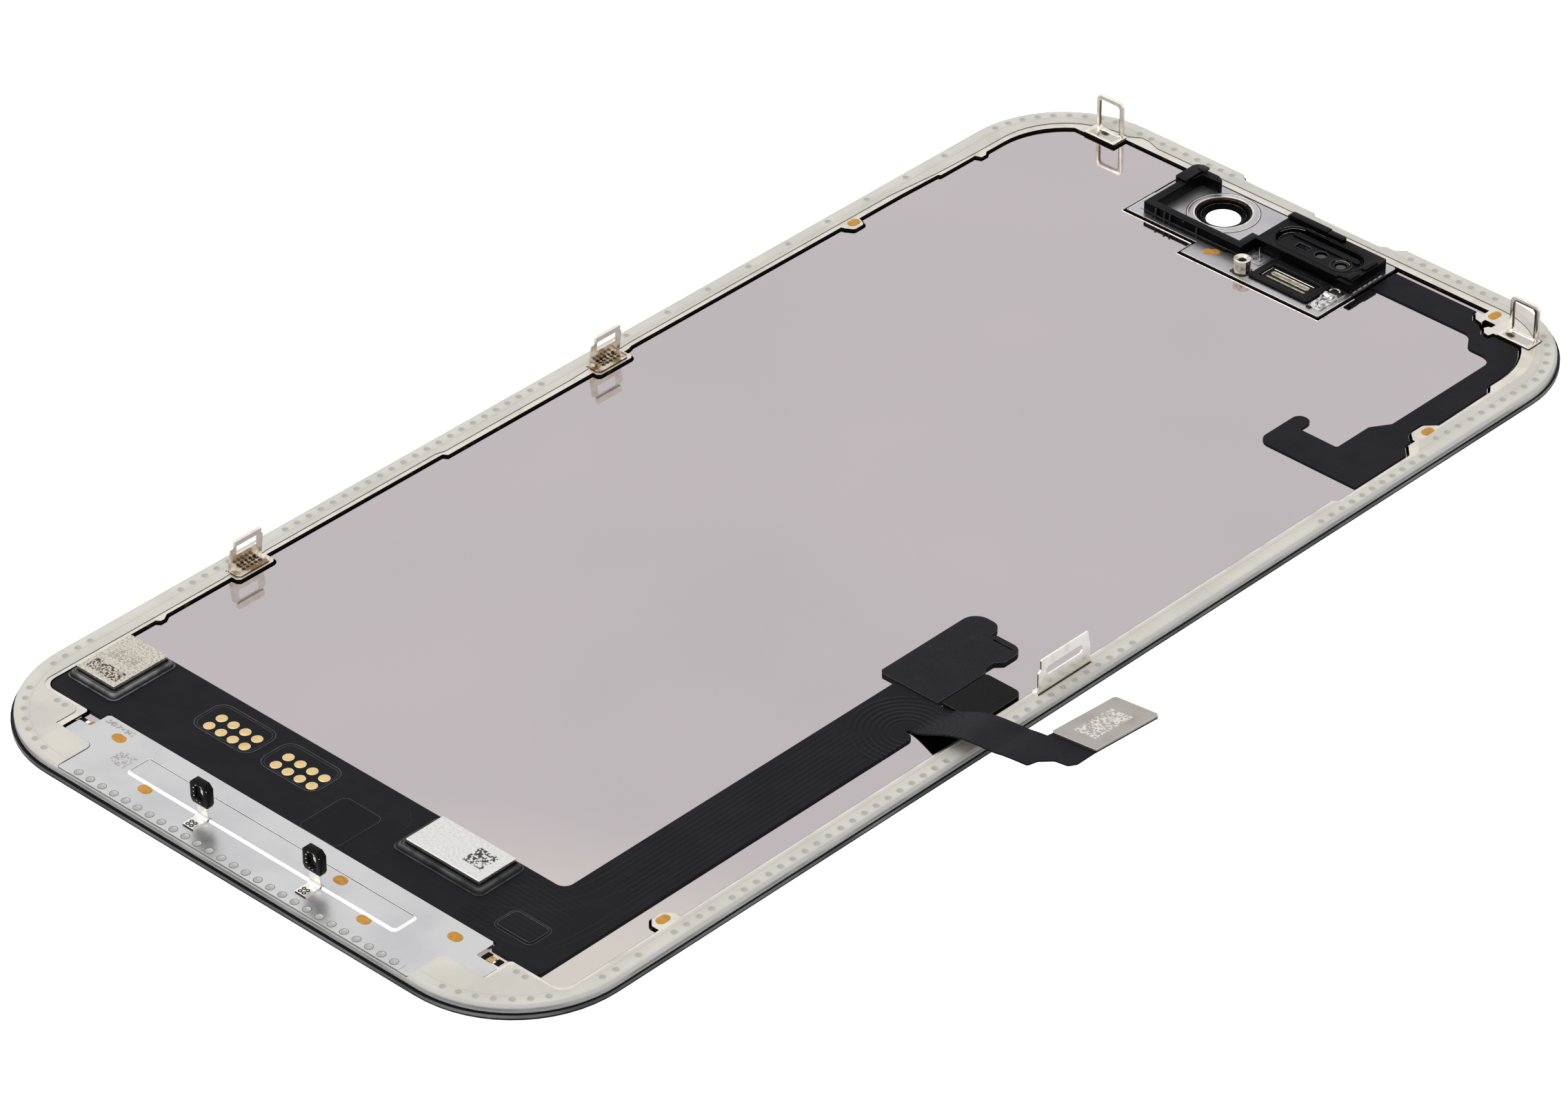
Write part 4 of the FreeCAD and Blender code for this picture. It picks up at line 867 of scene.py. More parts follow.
# Also used as painted shade: under the cluster plate's edge and at the bottom of the post's bore.
HOLE = Plastic("hole_black", seen(9, 8, 8), seen(14, 12, 10), roughness=0.5, specular=0.05)
CLEAR = Plastic("adhesive_clear", seen(150, 150, 150), seen(160, 160, 160), roughness=0.2, specular=0.4)
LENS = Plastic(
    "lens_dark", seen(8, 8, 10), seen(16, 15, 22), roughness=0.06, specular=0.4, mottle=1.5, grain=4.0,
    depth=0.002, edge=0.0, coat=0.3, glint=0.06,
)
RIM = BareRim("rim_steel", seen(226, 221, 211), seen(206, 201, 191), roughness=0.38, grain=5.0)
BRACKET = EtchedMetal(
    "bracket_steel", seen(207, 206, 207), seen(194, 193, 195), roughness=0.32, mottle=0.15, grain=9.0,
    stretch=(0.25, 1, 1), depth=0.004, edge=0.0, away=0.7, glint=0.06,
    places=(((-21.9, -64.95), (1.75, 0.3), 0.8), ((-18.3, -68.0), (1.0, 0.95), 0.7)), ink=seen(150, 147, 143),
    share=0.55,
)
# Painted white highlight on the rib's slopes, and painted shade on those turned away.
RIB_PAINTED_LIGHT = Metal(
    "rib_slope", seen(254, 254, 254), seen(238, 238, 240), roughness=0.3, mottle=0.4, grain=9.0, away=1.0,
)
# Painted dark shade around the bracket's filled holes.
HOLE_SHADE_RING = Metal("hole_shade_ring", seen(104, 100, 94), seen(76, 73, 70), roughness=0.4, mottle=1.0, grain=9.0)
CLIP = TintedMetal(
    "clip_nickel", seen(238, 233, 223), seen(222, 214, 200), mottle=1.2, grain=8.0, away=0.45, glint=0.04,
    tint=seen(150, 118, 80), low=2.0, high=2.7,
)
STRAP = Metal(
    "strap_nickel", seen(254, 252, 247), seen(238, 233, 223), roughness=0.24, mottle=1.2, grain=8.0, away=0.6,
    glint=0.04,
)
LEFT_LOOP = LoopMetal(
    "loop_nickel_left", seen(240, 234, 222), seen(222, 213, 197), roughness=0.22, mottle=1.2, grain=8.0,
    away=0.75, glint=0.04, middle=-24.9,
)
RIGHT_LOOP = replace(LEFT_LOOP, name="loop_nickel_right", middle=27.9)
CHIP_WARM = EtchedMetal(
    "chip_nickel", seen(214, 208, 197), seen(146, 137, 124), roughness=0.34, mottle=5.5, grain=14.0, away=0.5,
    glint=0.05, places=(((-28.5, -60.65), (1.95, 0.75), 0.95), ((-28.6, -58.2), (1.5, 0.8), 0.3)), speck=0.13,
    ink=seen(58, 50, 40), share=0.58,
)
CHIP_BRIGHT = EtchedMetal(
    "chip_silver", seen(226, 225, 223), seen(206, 204, 201), roughness=0.3, mottle=4.5, grain=12.0, away=0.5,
    glint=0.05, places=(((15.3, -57.6), (1.15, 1.15), 0.95),), speck=0.16, ink=seen(48, 45, 42), share=0.55,
)
STIFFENER = EtchedMetal(
    "stiffener_nickel", seen(176, 170, 164), seen(164, 157, 152), roughness=0.36, mottle=0.6, grain=12.0,
    away=0.85, glint=0.06, places=(((43.0, -9.1), (1.25, 2.5), 0.75),), ink=seen(238, 234, 226), share=0.6,
)
CLUSTER = Metal(
    "cluster_steel", seen(190, 188, 191), seen(176, 174, 177), roughness=0.36, mottle=0.3, grain=7.0,
    depth=0.002, edge=0.0, away=0.8, glint=0.07,
)
GOLD = Metal("contact_gold", seen(230, 199, 141), seen(218, 186, 128), roughness=0.34, mottle=1.5, grain=10.0)
GOLD_EDGE = Metal(
    "contact_edge", seen(246, 238, 216), seen(232, 218, 186), roughness=0.3, mottle=1.5, grain=10.0,
)
POST = Metal(
    "post_nickel", seen(232, 226, 214), seen(160, 144, 122), mottle=1.6, grain=9.0, away=0.9, glint=0.06,
)
SOLDER = Plastic(
    "solder_brown", seen(66, 50, 34), seen(24, 19, 15), roughness=0.25, specular=0.15, mottle=2.4, grain=8.0,
    depth=0.02, edge=0.0, glint=0.05,
)
SPRING = Metal(
    "spring_silver", seen(216, 215, 213), seen(46, 44, 43), mottle=2.2, grain=8.0, away=0.9, glint=0.08,
)
# Also used for painted glints, edge highlights and a painted reflection.
BRIGHT = Metal("bright_line", seen(244, 241, 234), seen(204, 194, 176), mottle=2.0, grain=8.0)
PEARL = Metal(
    "grille_pearl", seen(168, 158, 136), seen(134, 124, 104), roughness=0.3, mottle=2.0, grain=9.0,
    glint=0.04,
)
BRONZE = Metal("bronze_line", seen(196, 158, 104), seen(110, 80, 48), roughness=0.25, mottle=1.4, grain=8.0)
ORANGE = Plastic(
    "orange_spot", seen(220, 162, 76), seen(204, 146, 64), roughness=0.5, specular=0.1, mottle=2.5, grain=9.0,
    depth=0.01, edge=0.0,
)
WELD = Dish("weld_mark", seen(96, 66, 34), seen(214, 204, 186), roughness=0.3, metallic=0.3, depth=0.1)
DARK_WELD = Dish(
    "dark_weld_mark", seen(92, 86, 68), seen(200, 194, 178), roughness=0.3, metallic=0.3, depth=0.1,
)
# The darker middle is painted shade in the dimple's hollow.
DIMPLE = Dish("dimple", seen(192, 190, 183), seen(221, 218, 207))
STRIP_DIMPLE = Dish("strip_dimple", seen(192, 192, 189), seen(214, 214, 212), metallic=0.2, depth=0.15)
GLOW = GlowingWindow()

NODE_FINISHES: dict[str, Finish] = {
    "cover_glass": BlackGlass(),
    "optical_adhesive": CLEAR,
    "display_panel": PANEL,
    "back_plate": MirrorPlate(),
    "bezel_frame": FrameCream(),
    "rim_insert": RIM,
    "bottom_bracket": BRACKET,
    "clip_left_upper": CLIP,
    "clip_left_lower": CLIP,
    "clip_right": STRAP,
    "loop_top_left": LEFT_LOOP,
    "loop_top_right": RIGHT_LOOP,
    "hook_strip_left": STRAP,
    "hook_strip_right": STRAP,
    "hook_eye_left": EYES,
    "hook_eye_right": EYES,
    "main_flex": CircuitFilm(),
    "sensor_flex": CircuitFilm(),
    "flex_patch": PATCH,
    "cover_tape": TAPE,
    "spacer_pad": FOAM,
    "plug_stiffener": STIFFENER,
    "plug_shell": MOULDED,
    "cluster_gasket": FOAM,
    "camera_plate": CLUSTER,
    "camera_ring": BAFFLE,
    "camera_holder": MOULDED,
    "sensor_holder": MOULDED,
    "sensor_insert": MOULDED,
    "sensor_lenses": LENS,
    "speaker_frame": MOULDED,
    "speaker_grille": PEARL,
    "threaded_post": POST,
    "ground_tab": CLUSTER,
    "contact_spring": SPRING,
    "contact_pads_left": GOLD,
    "contact_pads_right": GOLD,
    "driver_chip_left": PANEL,
    "driver_chip_right": PANEL,
    "chip_skirt_left": SKIRT_SOFT,
    "chip_skirt_right": SKIRT,
    "chip_cover_left": CHIP_WARM,
    "chip_cover_right": CHIP_BRIGHT,
}


def placed(name: str, data: bpy.types.ID) -> bpy.types.Object:
    """Put a new object into the scene.

    Args:
        name: Its name.
        data: Its mesh, lamp or camera.

    Returns:
        The object.
    """
    made = bpy.data.objects.new(name, data)
    bpy.context.scene.collection.objects.link(made)
    return made


class Finishes:
    """Materials by finish, each made once."""

    def __init__(self) -> None:
        """Start with none."""
        self.made: dict[Finish, bpy.types.Material] = {}

    def get(self, finish: Finish) -> bpy.types.Material:
        """Give a finish's material, and make it the first time.

        Args:
            finish: What it is made from.

        Returns:
            The material.
        """
        if finish not in self.made:
            self.made[finish] = finish.build()
        return self.made[finish]

    def dress_nodes(self) -> None:
        """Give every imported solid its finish."""
        for name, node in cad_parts.items():
            material = self.get(NODE_FINISHES[name])
            node.data.materials.clear()
            node.data.materials.append(material)
            LOG.info("dressed %s with %s", name, material.name)


FINISHES = Finishes()


def corners(node: str) -> tuple[Vector, Vector]:
    """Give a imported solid's lowest and highest corners, in millimetres."""
    low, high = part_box(node)
    return low / MM, high / MM


def top_of(node: str) -> float:
    """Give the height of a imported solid's top, in millimetres."""
    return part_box(node)[1].z / MM


def foot_of(node: str) -> float:
    """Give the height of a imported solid's underside, in millimetres."""
    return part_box(node)[0].z / MM


def bracket_top() -> float:
    """Give the height of the bracket's flat sheet, on which the hooks' strips lie."""
    return foot_of("hook_strip_left")


def cluster_top() -> float:
    """Give the height of the cluster's plate, on which the camera's holder stands."""
    return foot_of("camera_holder")


def flex_top() -> float:
    """Give the height of the main circuit's flat part, on which the contact pads lie."""
    return foot_of("contact_pads_left")


@dataclass(frozen=True)
class Round:
    """A rounded rectangle in plan."""

    x0: float
    x1: float
    y0: float
    y1: float
    r: float = 0.0

    @classmethod
    def about(cls, centre: Point, across: float, along: float, r: float) -> "Round":
        """Give one from its middle and its half sizes."""
        return cls(centre[0] - across, centre[0] + across, centre[1] - along, centre[1] + along, r)

    def grown(self, by: float) -> "Round":
        """Give the outline moved outwards."""
        return Round(self.x0 - by, self.x1 + by, self.y0 - by, self.y1 + by, max(self.r + by, 0.0))

    def points(self, steps: int) -> list[Point]:
        """Walk it anticlockwise.

        Args:
            steps: Steps around each corner.

        Returns:
            The outline's points.
        """
        middles = (
            (self.x1 - self.r, self.y0 + self.r, -90.0),
            (self.x1 - self.r, self.y1 - self.r, 0.0),
            (self.x0 + self.r, self.y1 - self.r, 90.0),
            (self.x0 + self.r, self.y0 + self.r, 180.0),
        )
        turns = [
            (x, y, math.radians(first + 90.0 * i / steps))
            for x, y, first in middles
            for i in range(steps + 1)
        ]
        return [(x + self.r * math.cos(turn), y + self.r * math.sin(turn)) for x, y, turn in turns]


def arc(centre: Point, radius: float, first: float, last: float, z: float, steps: int = 12) -> list[Place]:
    """Give points along an arc in plan, from one angle to another in degrees."""
    turns = [math.radians(first + (last - first) * i / steps) for i in range(steps + 1)]
    return [(centre[0] + radius * math.cos(a), centre[1] + radius * math.sin(a), z) for a in turns]


class Piece:
    """A new piece in the making: a mesh in millimetres, and what becomes of it."""

    def __init__(self, name: str) -> None:
        """Start an empty mesh.

        Args:
            name: The piece's name.
        """
        self.name = name
        self.mesh = bmesh.new()
        self.edge = self.mesh.verts.layers.float.new(EDGE)

    def disc(self, x: float, y: float, z: float, across: float, along: float, segments: int = 20) -> None:
        """Add a thin mark that fades from its middle to its rim.

        Args:
            x: Middle along X.
            y: Middle along Y.
            z: Height of its top.
            across: Half its size along X.
            along: Half its size along Y.
            segments: Corners of its outline.
        """
        depth = 0.02
        ring = bmesh.ops.create_circle(self.mesh, cap_ends=True, radius=1.0, segments=segments)["verts"]
        bmesh.ops.scale(self.mesh, vec=(across, along, 1), verts=ring)
        bmesh.ops.translate(self.mesh, vec=(x, y, z - depth), verts=ring)
        grown = bmesh.ops.extrude_face_region(self.mesh, geom=[ring[0].link_faces[0]])["geom"]
        face = next(item for item in grown if isinstance(item, bmesh.types.BMFace))
        bmesh.ops.translate(self.mesh, vec=(0, 0, depth), verts=face.verts[:])
        for vert in (*ring, *face.verts):
            vert[self.edge] = 1.0
        bmesh.ops.inset_region(self.mesh, faces=[face], thickness=min(across, along) * 0.5)
        for vert in face.verts:
            vert[self.edge] = 0.35
        centre = bmesh.ops.poke(self.mesh, faces=[face])["verts"][0]
        centre[self.edge] = 0.0

    def terrace(self, inner: Round, outer: Round, profile: Sequence[Point], steps: int = 6) -> None:
        """Add a solid ring whose section lies between two outlines.

        Args:
            inner: The outline where a share is 0.
            outer: The outline where a share is 1.
            profile: The closed section's corners, each a share and a height.
            steps: Steps around each of the outlines' corners.
        """
        pairs = list(zip(inner.points(steps), outer.points(steps)))
        rings = []
        for share, z in profile:
            places = [(a[0] + (b[0] - a[0]) * share, a[1] + (b[1] - a[1]) * share, z) for a, b in pairs]
            rings.append([self.mesh.verts.new(place) for place in places])
        faces = []
        for low, high in zip(rings, rings[1:] + rings[:1]):
            for i in range(len(low)):
                faces.append(self.mesh.faces.new((low[i - 1], low[i], high[i], high[i - 1])))
        bmesh.ops.recalc_face_normals(self.mesh, faces=faces)

    def bead(self, along: Round, width: float, z: float, height: float, steps: int = 6) -> None:
        """Add a rounded bead along an outline.

        Args:
            along: The outline of its middle.
            width: Its width.
            z: Height of its foot.
            height: How far it rises.
            steps: Steps around each of the outline's corners.
        """
        section = ((0.0, 0.0), (0.08, 0.6), (0.3, 1.0), (0.7, 1.0), (0.92, 0.6), (1.0, 0.0))
        profile = [(share, z + height * rise) for share, rise in section]
        self.terrace(along.grown(-width / 2), along.grown(width / 2), profile, steps)

    def lathe(self, centre: Point, profile: Sequence[Point], steps: int = 10) -> None:
        """Add a turned ring about an upright axis, from a section of radii and heights."""
        nothing = Round.about(centre, 0.0, 0.0, 0.0)
        self.terrace(nothing, Round.about(centre, 1.0, 1.0, 1.0), profile, steps)

    def ring(self, centre: Point, radii: Sequence[float], z: float, height: float, steps: int = 10) -> None:
        """Add a low turned ring, from the radii of its inner foot, its top's two edges and its outer foot."""
        heights = (z, z + height, z + height, z)
        self.lathe(centre, list(zip(radii, heights)), steps)

    def slab(self, shape: Round, low: float, high: float, bevel: float = 0.0, steps: int = 6) -> None:
        """Add a plate with a rounded outline.

        Args:
            shape: Its outline.
            low: Height of its underside.
            high: Height of its top.
            bevel: Radius of its top edge.
            steps: Steps around each corner.
        """
        outline = dict.fromkeys(shape.points(steps))
        face = self.mesh.faces.new([self.mesh.verts.new((x, y, low)) for x, y in outline])
        grown = bmesh.ops.extrude_face_region(self.mesh, geom=[face])["geom"]
        top = next(item for item in grown if isinstance(item, bmesh.types.BMFace))
        bmesh.ops.translate(self.mesh, vec=(0, 0, high - low), verts=top.verts[:])
        if bevel:
            bmesh.ops.bevel(
                self.mesh, geom=top.edges[:], offset=bevel, segments=3, profile=0.5, affect="EDGES",
                material=-1,
            )

    def rod(self, path: Sequence[Place], radius: float, flat: float = 1.0, sides: int = 6) -> None:
        """Add a rod along a path, with closed ends.

        Args:
            path: Its middle line.
            radius: Half its width.
            flat: Its height as a share of its width.
            sides: Corners of its section.
        """
        rings = []
        points = [Vector(point) for point in path]
        for i, here in enumerate(points):
            ahead = (points[min(i + 1, len(points) - 1)] - points[max(i - 1, 0)]).normalized()
            across = ahead.cross(Vector((0, 0, 1)))
            across = across.normalized() if across.length > 0.01 else Vector((1, 0, 0))
            up = across.cross(ahead)
            turns = [2 * math.pi * (k + 0.5) / sides for k in range(sides)]
            offsets = [across * (radius * math.cos(a)) + up * (radius * flat * math.sin(a)) for a in turns]
            rings.append([self.mesh.verts.new(here + offset) for offset in offsets])
        faces = [self.mesh.faces.new(rings[0]), self.mesh.faces.new(rings[-1])]
        for low, high in zip(rings, rings[1:]):
            for i in range(sides):
                faces.append(self.mesh.faces.new((low[i - 1], low[i], high[i], high[i - 1])))
        bmesh.ops.recalc_face_normals(self.mesh, faces=faces)

    def soften(self, node: str, radius: float, segments: int = 3) -> None:
        """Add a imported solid's own mesh with its edges rounded.

        Args:
            node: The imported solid.
            radius: Radius of its edges.
            segments: Steps of each rounding.
        """
        mesh = self.mesh
        mesh.from_mesh(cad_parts[node].data)
        bmesh.ops.scale(mesh, vec=(1 / MM, 1 / MM, 1 / MM), verts=mesh.verts)
        bmesh.ops.remove_doubles(mesh, verts=mesh.verts, dist=0.0005)
        bmesh.ops.dissolve_limit(mesh, angle_limit=math.radians(2), verts=mesh.verts, edges=mesh.edges)
        sharp = [e for e in mesh.edges if len(e.link_faces) == 2 and e.calc_face_angle() > math.radians(35)]
        bmesh.ops.bevel(
            mesh, geom=sharp, offset=radius, segments=segments, profile=0.5, affect="EDGES",
            clamp_overlap=True, material=-1,
        )

    def finish(
        self, finish: Finish, slot: Slot, replaces: Iterable[str] = (), smooth: float = 30.0
    ) -> bpy.types.Object:
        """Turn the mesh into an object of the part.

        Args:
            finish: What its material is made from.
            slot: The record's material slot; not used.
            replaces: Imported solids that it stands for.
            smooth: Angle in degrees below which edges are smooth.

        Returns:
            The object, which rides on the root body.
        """
        bmesh.ops.remove_doubles(self.mesh, verts=self.mesh.verts, dist=0.0002)
        bmesh.ops.recalc_face_normals(self.mesh, faces=self.mesh.faces[:])
        bmesh.ops.scale(self.mesh, vec=(MM, MM, MM), verts=self.mesh.verts)
        data = bpy.data.meshes.new(self.name)
        self.mesh.to_mesh(data)
        self.mesh.free()
        for polygon in data.polygons:
            polygon.use_smooth = True
        data.set_sharp_from_angle(angle=math.radians(smooth))
        data.materials.append(FINISHES.get(finish))
        made = placed(self.name, data)
        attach(made, "root")
        for node in replaces:
            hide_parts(node)
        LOG.info("made %s, %d faces", self.name, len(data.polygons))
        return made


@dataclass
class Studio:
    """Camera, ground and light. The camera's values were fitted to the photograph."""

    focal_px: float = 10596.0
    image_px: float = 2274.0
    sensor: float = 36.0
    azimuth: float = 43.371
    elevation: float = 34.549
    roll: float = -0.129
    pan: Point = (-2.473, -2.263)
    distance: float = 664.63
    aim: tuple[float, float, float] = (0.28, -0.5, 0.0)
    ground_size: float = 3.0
    ground_drop: float = 0.00002
    ground_tones: tuple[Colour, Colour] = ((0.93, 0.93, 0.93, 1.0), (0.95, 0.95, 0.95, 1.0))
    fill: float = 0.62
    lamp_size: float = 0.55
    lamp_power: float = 1.5
    lamp_place: tuple[float, float, float] = (-0.25, -0.2, 0.62)

    def camera(self) -> None:
        """Place the camera at the photograph's view."""
        a = math.radians(self.azimuth)
        e = math.radians(self.elevation)
        r = math.radians(self.roll)
        back = Vector((math.sin(a) * math.cos(e), -math.cos(a) * math.cos(e), math.sin(e)))
        level = Vector((math.cos(a), math.sin(a), 0))
        upward = back.cross(level)
        across = math.cos(r) * level + math.sin(r) * upward
        up = -math.sin(r) * level + math.cos(r) * upward
        place = back * self.distance + across * self.pan[0] + up * self.pan[1] + Vector(self.aim)
        data = bpy.data.cameras.new("camera")
        data.sensor_width = self.sensor
        data.lens = self.focal_px / self.image_px * self.sensor
        data.clip_start = 0.01
        data.clip_end = 20.0
        camera = placed("camera", data)
        turn = Matrix((across, up, back)).transposed().to_4x4()
        camera.matrix_world = Matrix.Translation(place * MM) @ turn
        bpy.context.scene.camera = camera

    def ground(self) -> None:
        """Lay the pale ground under the glass."""
        mesh = bmesh.new()
        bmesh.ops.create_grid(mesh, x_segments=1, y_segments=1, size=self.ground_size)
        bmesh.ops.translate(mesh, vec=(0, 0, -self.ground_drop), verts=mesh.verts)
        data = bpy.data.meshes.new("ground")
        mesh.to_mesh(data)
        mesh.free()
        shader = Shader("pale_ground")
        direct = shader.node("ShaderNodeLightPath", output="Is Camera Ray")
        material = shader.dress(
            Base_Color=shader.mix(shader.noise(0.02, 2), *self.ground_tones),
            Roughness=0.9,
            Specular_IOR_Level=0.0,
            Emission_Color=shader.mix(direct, (0.0, 0.0, 0.0, 1.0), WHITE),
            Emission_Strength=1.0,
        )
        data.materials.append(material)
        placed("ground", data)

    def light(self) -> None:
        """Light the part softly from above, in a white room."""
        world = bpy.data.worlds.new("white_room")
        bpy.context.scene.world = world
        world.use_nodes = True
        graph = Graph(world.node_tree)
        rays = ("Is Camera Ray", "Is Glossy Ray", "Is Transmission Ray")
        camera, glossy, through = (graph.node("ShaderNodeLightPath", output=ray) for ray in rays)
        shown = graph.larger(graph.larger(camera, glossy), through)
        room = graph.node("ShaderNodeBackground", None, {0: WHITE, 1: self.fill})
        white = graph.node("ShaderNodeBackground", None, {0: WHITE, 1: 1.0})
        mixed = graph.node("ShaderNodeMixShader", None, {0: shown, 1: room, 2: white})
        graph.node("ShaderNodeOutputWorld", None, {0: mixed})
        data = bpy.data.lights.new("softbox", "AREA")
        data.shape = "SQUARE"
        data.size = self.lamp_size
        data.energy = self.lamp_power
        lamp = placed("softbox", data)
        lamp.location = self.lamp_place
        lamp.rotation_euler = (-Vector(self.lamp_place)).to_track_quat("-Z", "Y").to_euler()

    def build(self) -> None:
        """Set the whole studio."""
        bpy.context.scene.view_settings.view_transform = "Standard"
        self.camera()
        self.ground()
        self.light()


@dataclass
class Row:
    """Marks at an even pitch from one point to another."""

    start: Point
    end: Point
    count: int

    def points(self) -> list[Point]:
        """List the marks' places.

        Returns:
            One point in plan for each mark.
        """
        steps = max(self.count - 1, 1)
        (x0, y0), (x1, y1) = self.start, self.end
        return [(x0 + (x1 - x0) * i / steps, y0 + (y1 - y0) * i / steps) for i in range(self.count)]


@dataclass
class Bend:
    """Marks at an even pitch around a corner."""

    centre: Point
    radius: float
    first: float
    last: float
    count: int

    def points(self) -> list[Point]:
        """List the marks' places."""
        bend = arc(self.centre, self.radius, self.first, self.last, 0.0, self.count - 1)
        return [(x, y) for x, y, _ in bend]


@dataclass
class FrameMarks:
    """The rows of small dimples in the cream frame."""

    dimple_r: float = 0.37
    corner_x: float = 22.9
    corner_y: float = 60.8
    corner_r: float = 10.85

    def rows(self) -> list[Row | Bend]:
        """List every row of dimples on the frame.

        Returns:
            Straight and bent rows.
        """
        x, y, r = self.corner_x, self.corner_y, self.corner_r
        return [
            Row((-33.75, -1.0), (-33.7, -34.0), 23),
            Row((-33.7, -41.0), (-33.6, -47.0), 5),
            Row((-33.6, -57.9), (-33.6, -59.4), 2),
            Bend((-x, -y), 10.6, 181.0, 189.0, 2),
            Bend((-x, -y), r, 211.0, 261.0, 7),
            Bend((x, -y), r, 280.0, 329.0, 7),
            Row((-29.0, -66.0), (-28.0, -66.0), 2),
            Row((27.9, -65.9), (28.9, -65.9), 2),
            Row((34.1, 5.1), (34.1, -10.4), 11),
            Row((34.0, -19.3), (33.95, -46.2), 19),
            Row((33.75, -48.5), (33.7, -53.0), 4),
            Row((33.7, -57.3), (33.7, -57.3), 1),
            Row((33.7, -60.0), (33.6, -61.5), 2),
            Row((34.05, 31.3), (34.0, 45.8), 11),
            Row((33.0, 49.0), (33.2, 52.0), 3),
            Row((33.35, 53.7), (33.5, 61.4), 6),
            Bend((x, y), r, 12.0, 53.0, 6),
            Row((11.7, 71.45), (22.0, 71.45), 8),
            Row((-22.5, 71.2), (-10.8, 71.45), 9),
            Bend((-x, y), r, 105.0, 172.0, 9),
            Row((-33.8, 55.0), (-33.8, 10.4), 9),
        ]

    def build(self) -> None:
        """Make the dimples."""
        z = top_of("bezel_frame") + 0.004
        piece = Piece("frame_dimples")
        for row in self.rows():
            for x, y in row.points():
                piece.disc(x, y, z, self.dimple_r, self.dimple_r)
        piece.finish(DIMPLE, Slot.FRAME)


@dataclass
class OrangeSpots:
    """Dots of cured orange glue on the rim's tabs, the bracket and the cluster's plate."""

    on_rim: Spots = ((31.75, -52.35, 0.48, 0.72), (23.75, 69.2, 0.47, 0.75), (-31.9, 39.9, 0.5, 0.7),
                     (31.7, 49.4, 0.5, 0.7))
    on_bracket: Spots = ((-20.9, -66.1, 0.75, 0.52), (20.7, -66.0, 0.75, 0.55), (-13.7, -69.65, 0.72, 0.54),
                         (13.4, -69.6, 0.72, 0.54))
    on_rib: Spots = ((8.2, -67.3, 0.72, 0.54),)
    on_cluster: Spots = ((-3.6, 59.35, 0.5, 0.5),)
    over_cluster: Spots = ((-3.0, 59.75, 0.52, 0.46),)
    height: float = 0.035
    overlap: float = 0.012

    def build(self) -> None:
        """Make the spots."""
        piece = Piece("orange_spots")
        levels = (
            (self.on_rim, top_of("rim_insert")), (self.on_bracket, bracket_top()),
            (self.on_rib, top_of("bottom_bracket")), (self.on_cluster, cluster_top()),
            (self.over_cluster, cluster_top() + self.overlap),
        )
        for spots, z in levels:
            for x, y, across, along in spots:
                outline = Round.about((x, y), across, along, min(across, along))
                piece.slab(outline, z, z + self.height, self.height * 0.7)
        piece.finish(ORANGE, Slot.FRAME)


@dataclass
class ContactField:
    """A group of round gold contacts in a window of the cover film, with the window's double outline."""

    side: Side
    radius: float = 0.52
    lip: float = 0.05
    pitch: float = 1.5
    columns: int = 4
    rows: int = 2
    windows: dict[Side, Round] = field(default_factory=lambda: {
        Side.LEFT: Round(-18.3, -10.9, -60.3, -56.1, 1.2),
        Side.RIGHT: Round(-9.8, -2.7, -60.3, -56.1, 1.2),
    })

    def build(self) -> None:
        """Make the contacts and their outline."""
        node = f"contact_pads_{self.side.value}"
        low, high = corners(node)
        discs = Piece(f"contact_discs_{self.side.value}")
        edges = Piece(f"contact_edges_{self.side.value}")
        for column in range(self.columns):
            for row in range(self.rows):
                place = (low.x + self.radius + column * self.pitch, low.y + self.radius + row * self.pitch)
                round_pad = Round.about(place, self.radius, self.radius, self.radius)
                discs.slab(round_pad, low.z, high.z, 0.02)
                edges.bead(round_pad, self.lip, low.z, high.z - low.z, 8)
        discs.finish(GOLD, Slot.CONTACTS, [node])
        edges.finish(GOLD_EDGE, Slot.CONTACTS)
        lines = Piece(f"contact_outline_{self.side.value}")
        window = self.windows[self.side]
        lines.bead(window, 0.07, low.z, 0.03)
        lines.bead(window.grown(-0.26), 0.035, low.z, 0.012)
        lines.finish(LINE, Slot.FILM)


@dataclass
class ChipSkirt:
    """The moulded skirt around a driver chip: a dark gap, a round bulge, a groove and a thin outer line."""

    side: Side
    gap: float = 0.3
    section: tuple[Point, ...] = (
        (0.0, 0.0), (0.0, 1.0), (0.24, 1.0), (0.29, 0.5), (0.32, 0.46), (0.36, 0.6), (0.42, 0.74),
        (0.5, 0.82), (0.58, 0.8), (0.66, 0.68), (0.73, 0.5), (0.79, 0.28), (0.83, 0.08), (0.9, 0.05),
        (0.92, 0.14), (0.95, 0.18), (0.98, 0.14), (1.0, 0.0),
    )

    def build(self) -> None:
        """Make the skirt."""
        node = f"chip_skirt_{self.side.value}"
        low, high = corners(node)
        cover_low, cover_high = corners(f"chip_cover_{self.side.value}")
        inner = Round(cover_low.x, cover_high.x, cover_low.y, cover_high.y, 0.25).grown(-self.gap)
        outer = Round(low.x, high.x, low.y, high.y, 0.75)
        rise = high.z - low.z
        piece = Piece(f"skirt_{self.side.value}")
        piece.terrace(inner, outer, [(share, low.z + rise * height) for share, height in self.section], 8)
        finish = SKIRT_SOFT if self.side is Side.LEFT else SKIRT
        piece.finish(finish, Slot.MOULDING, [node], smooth=50.0)


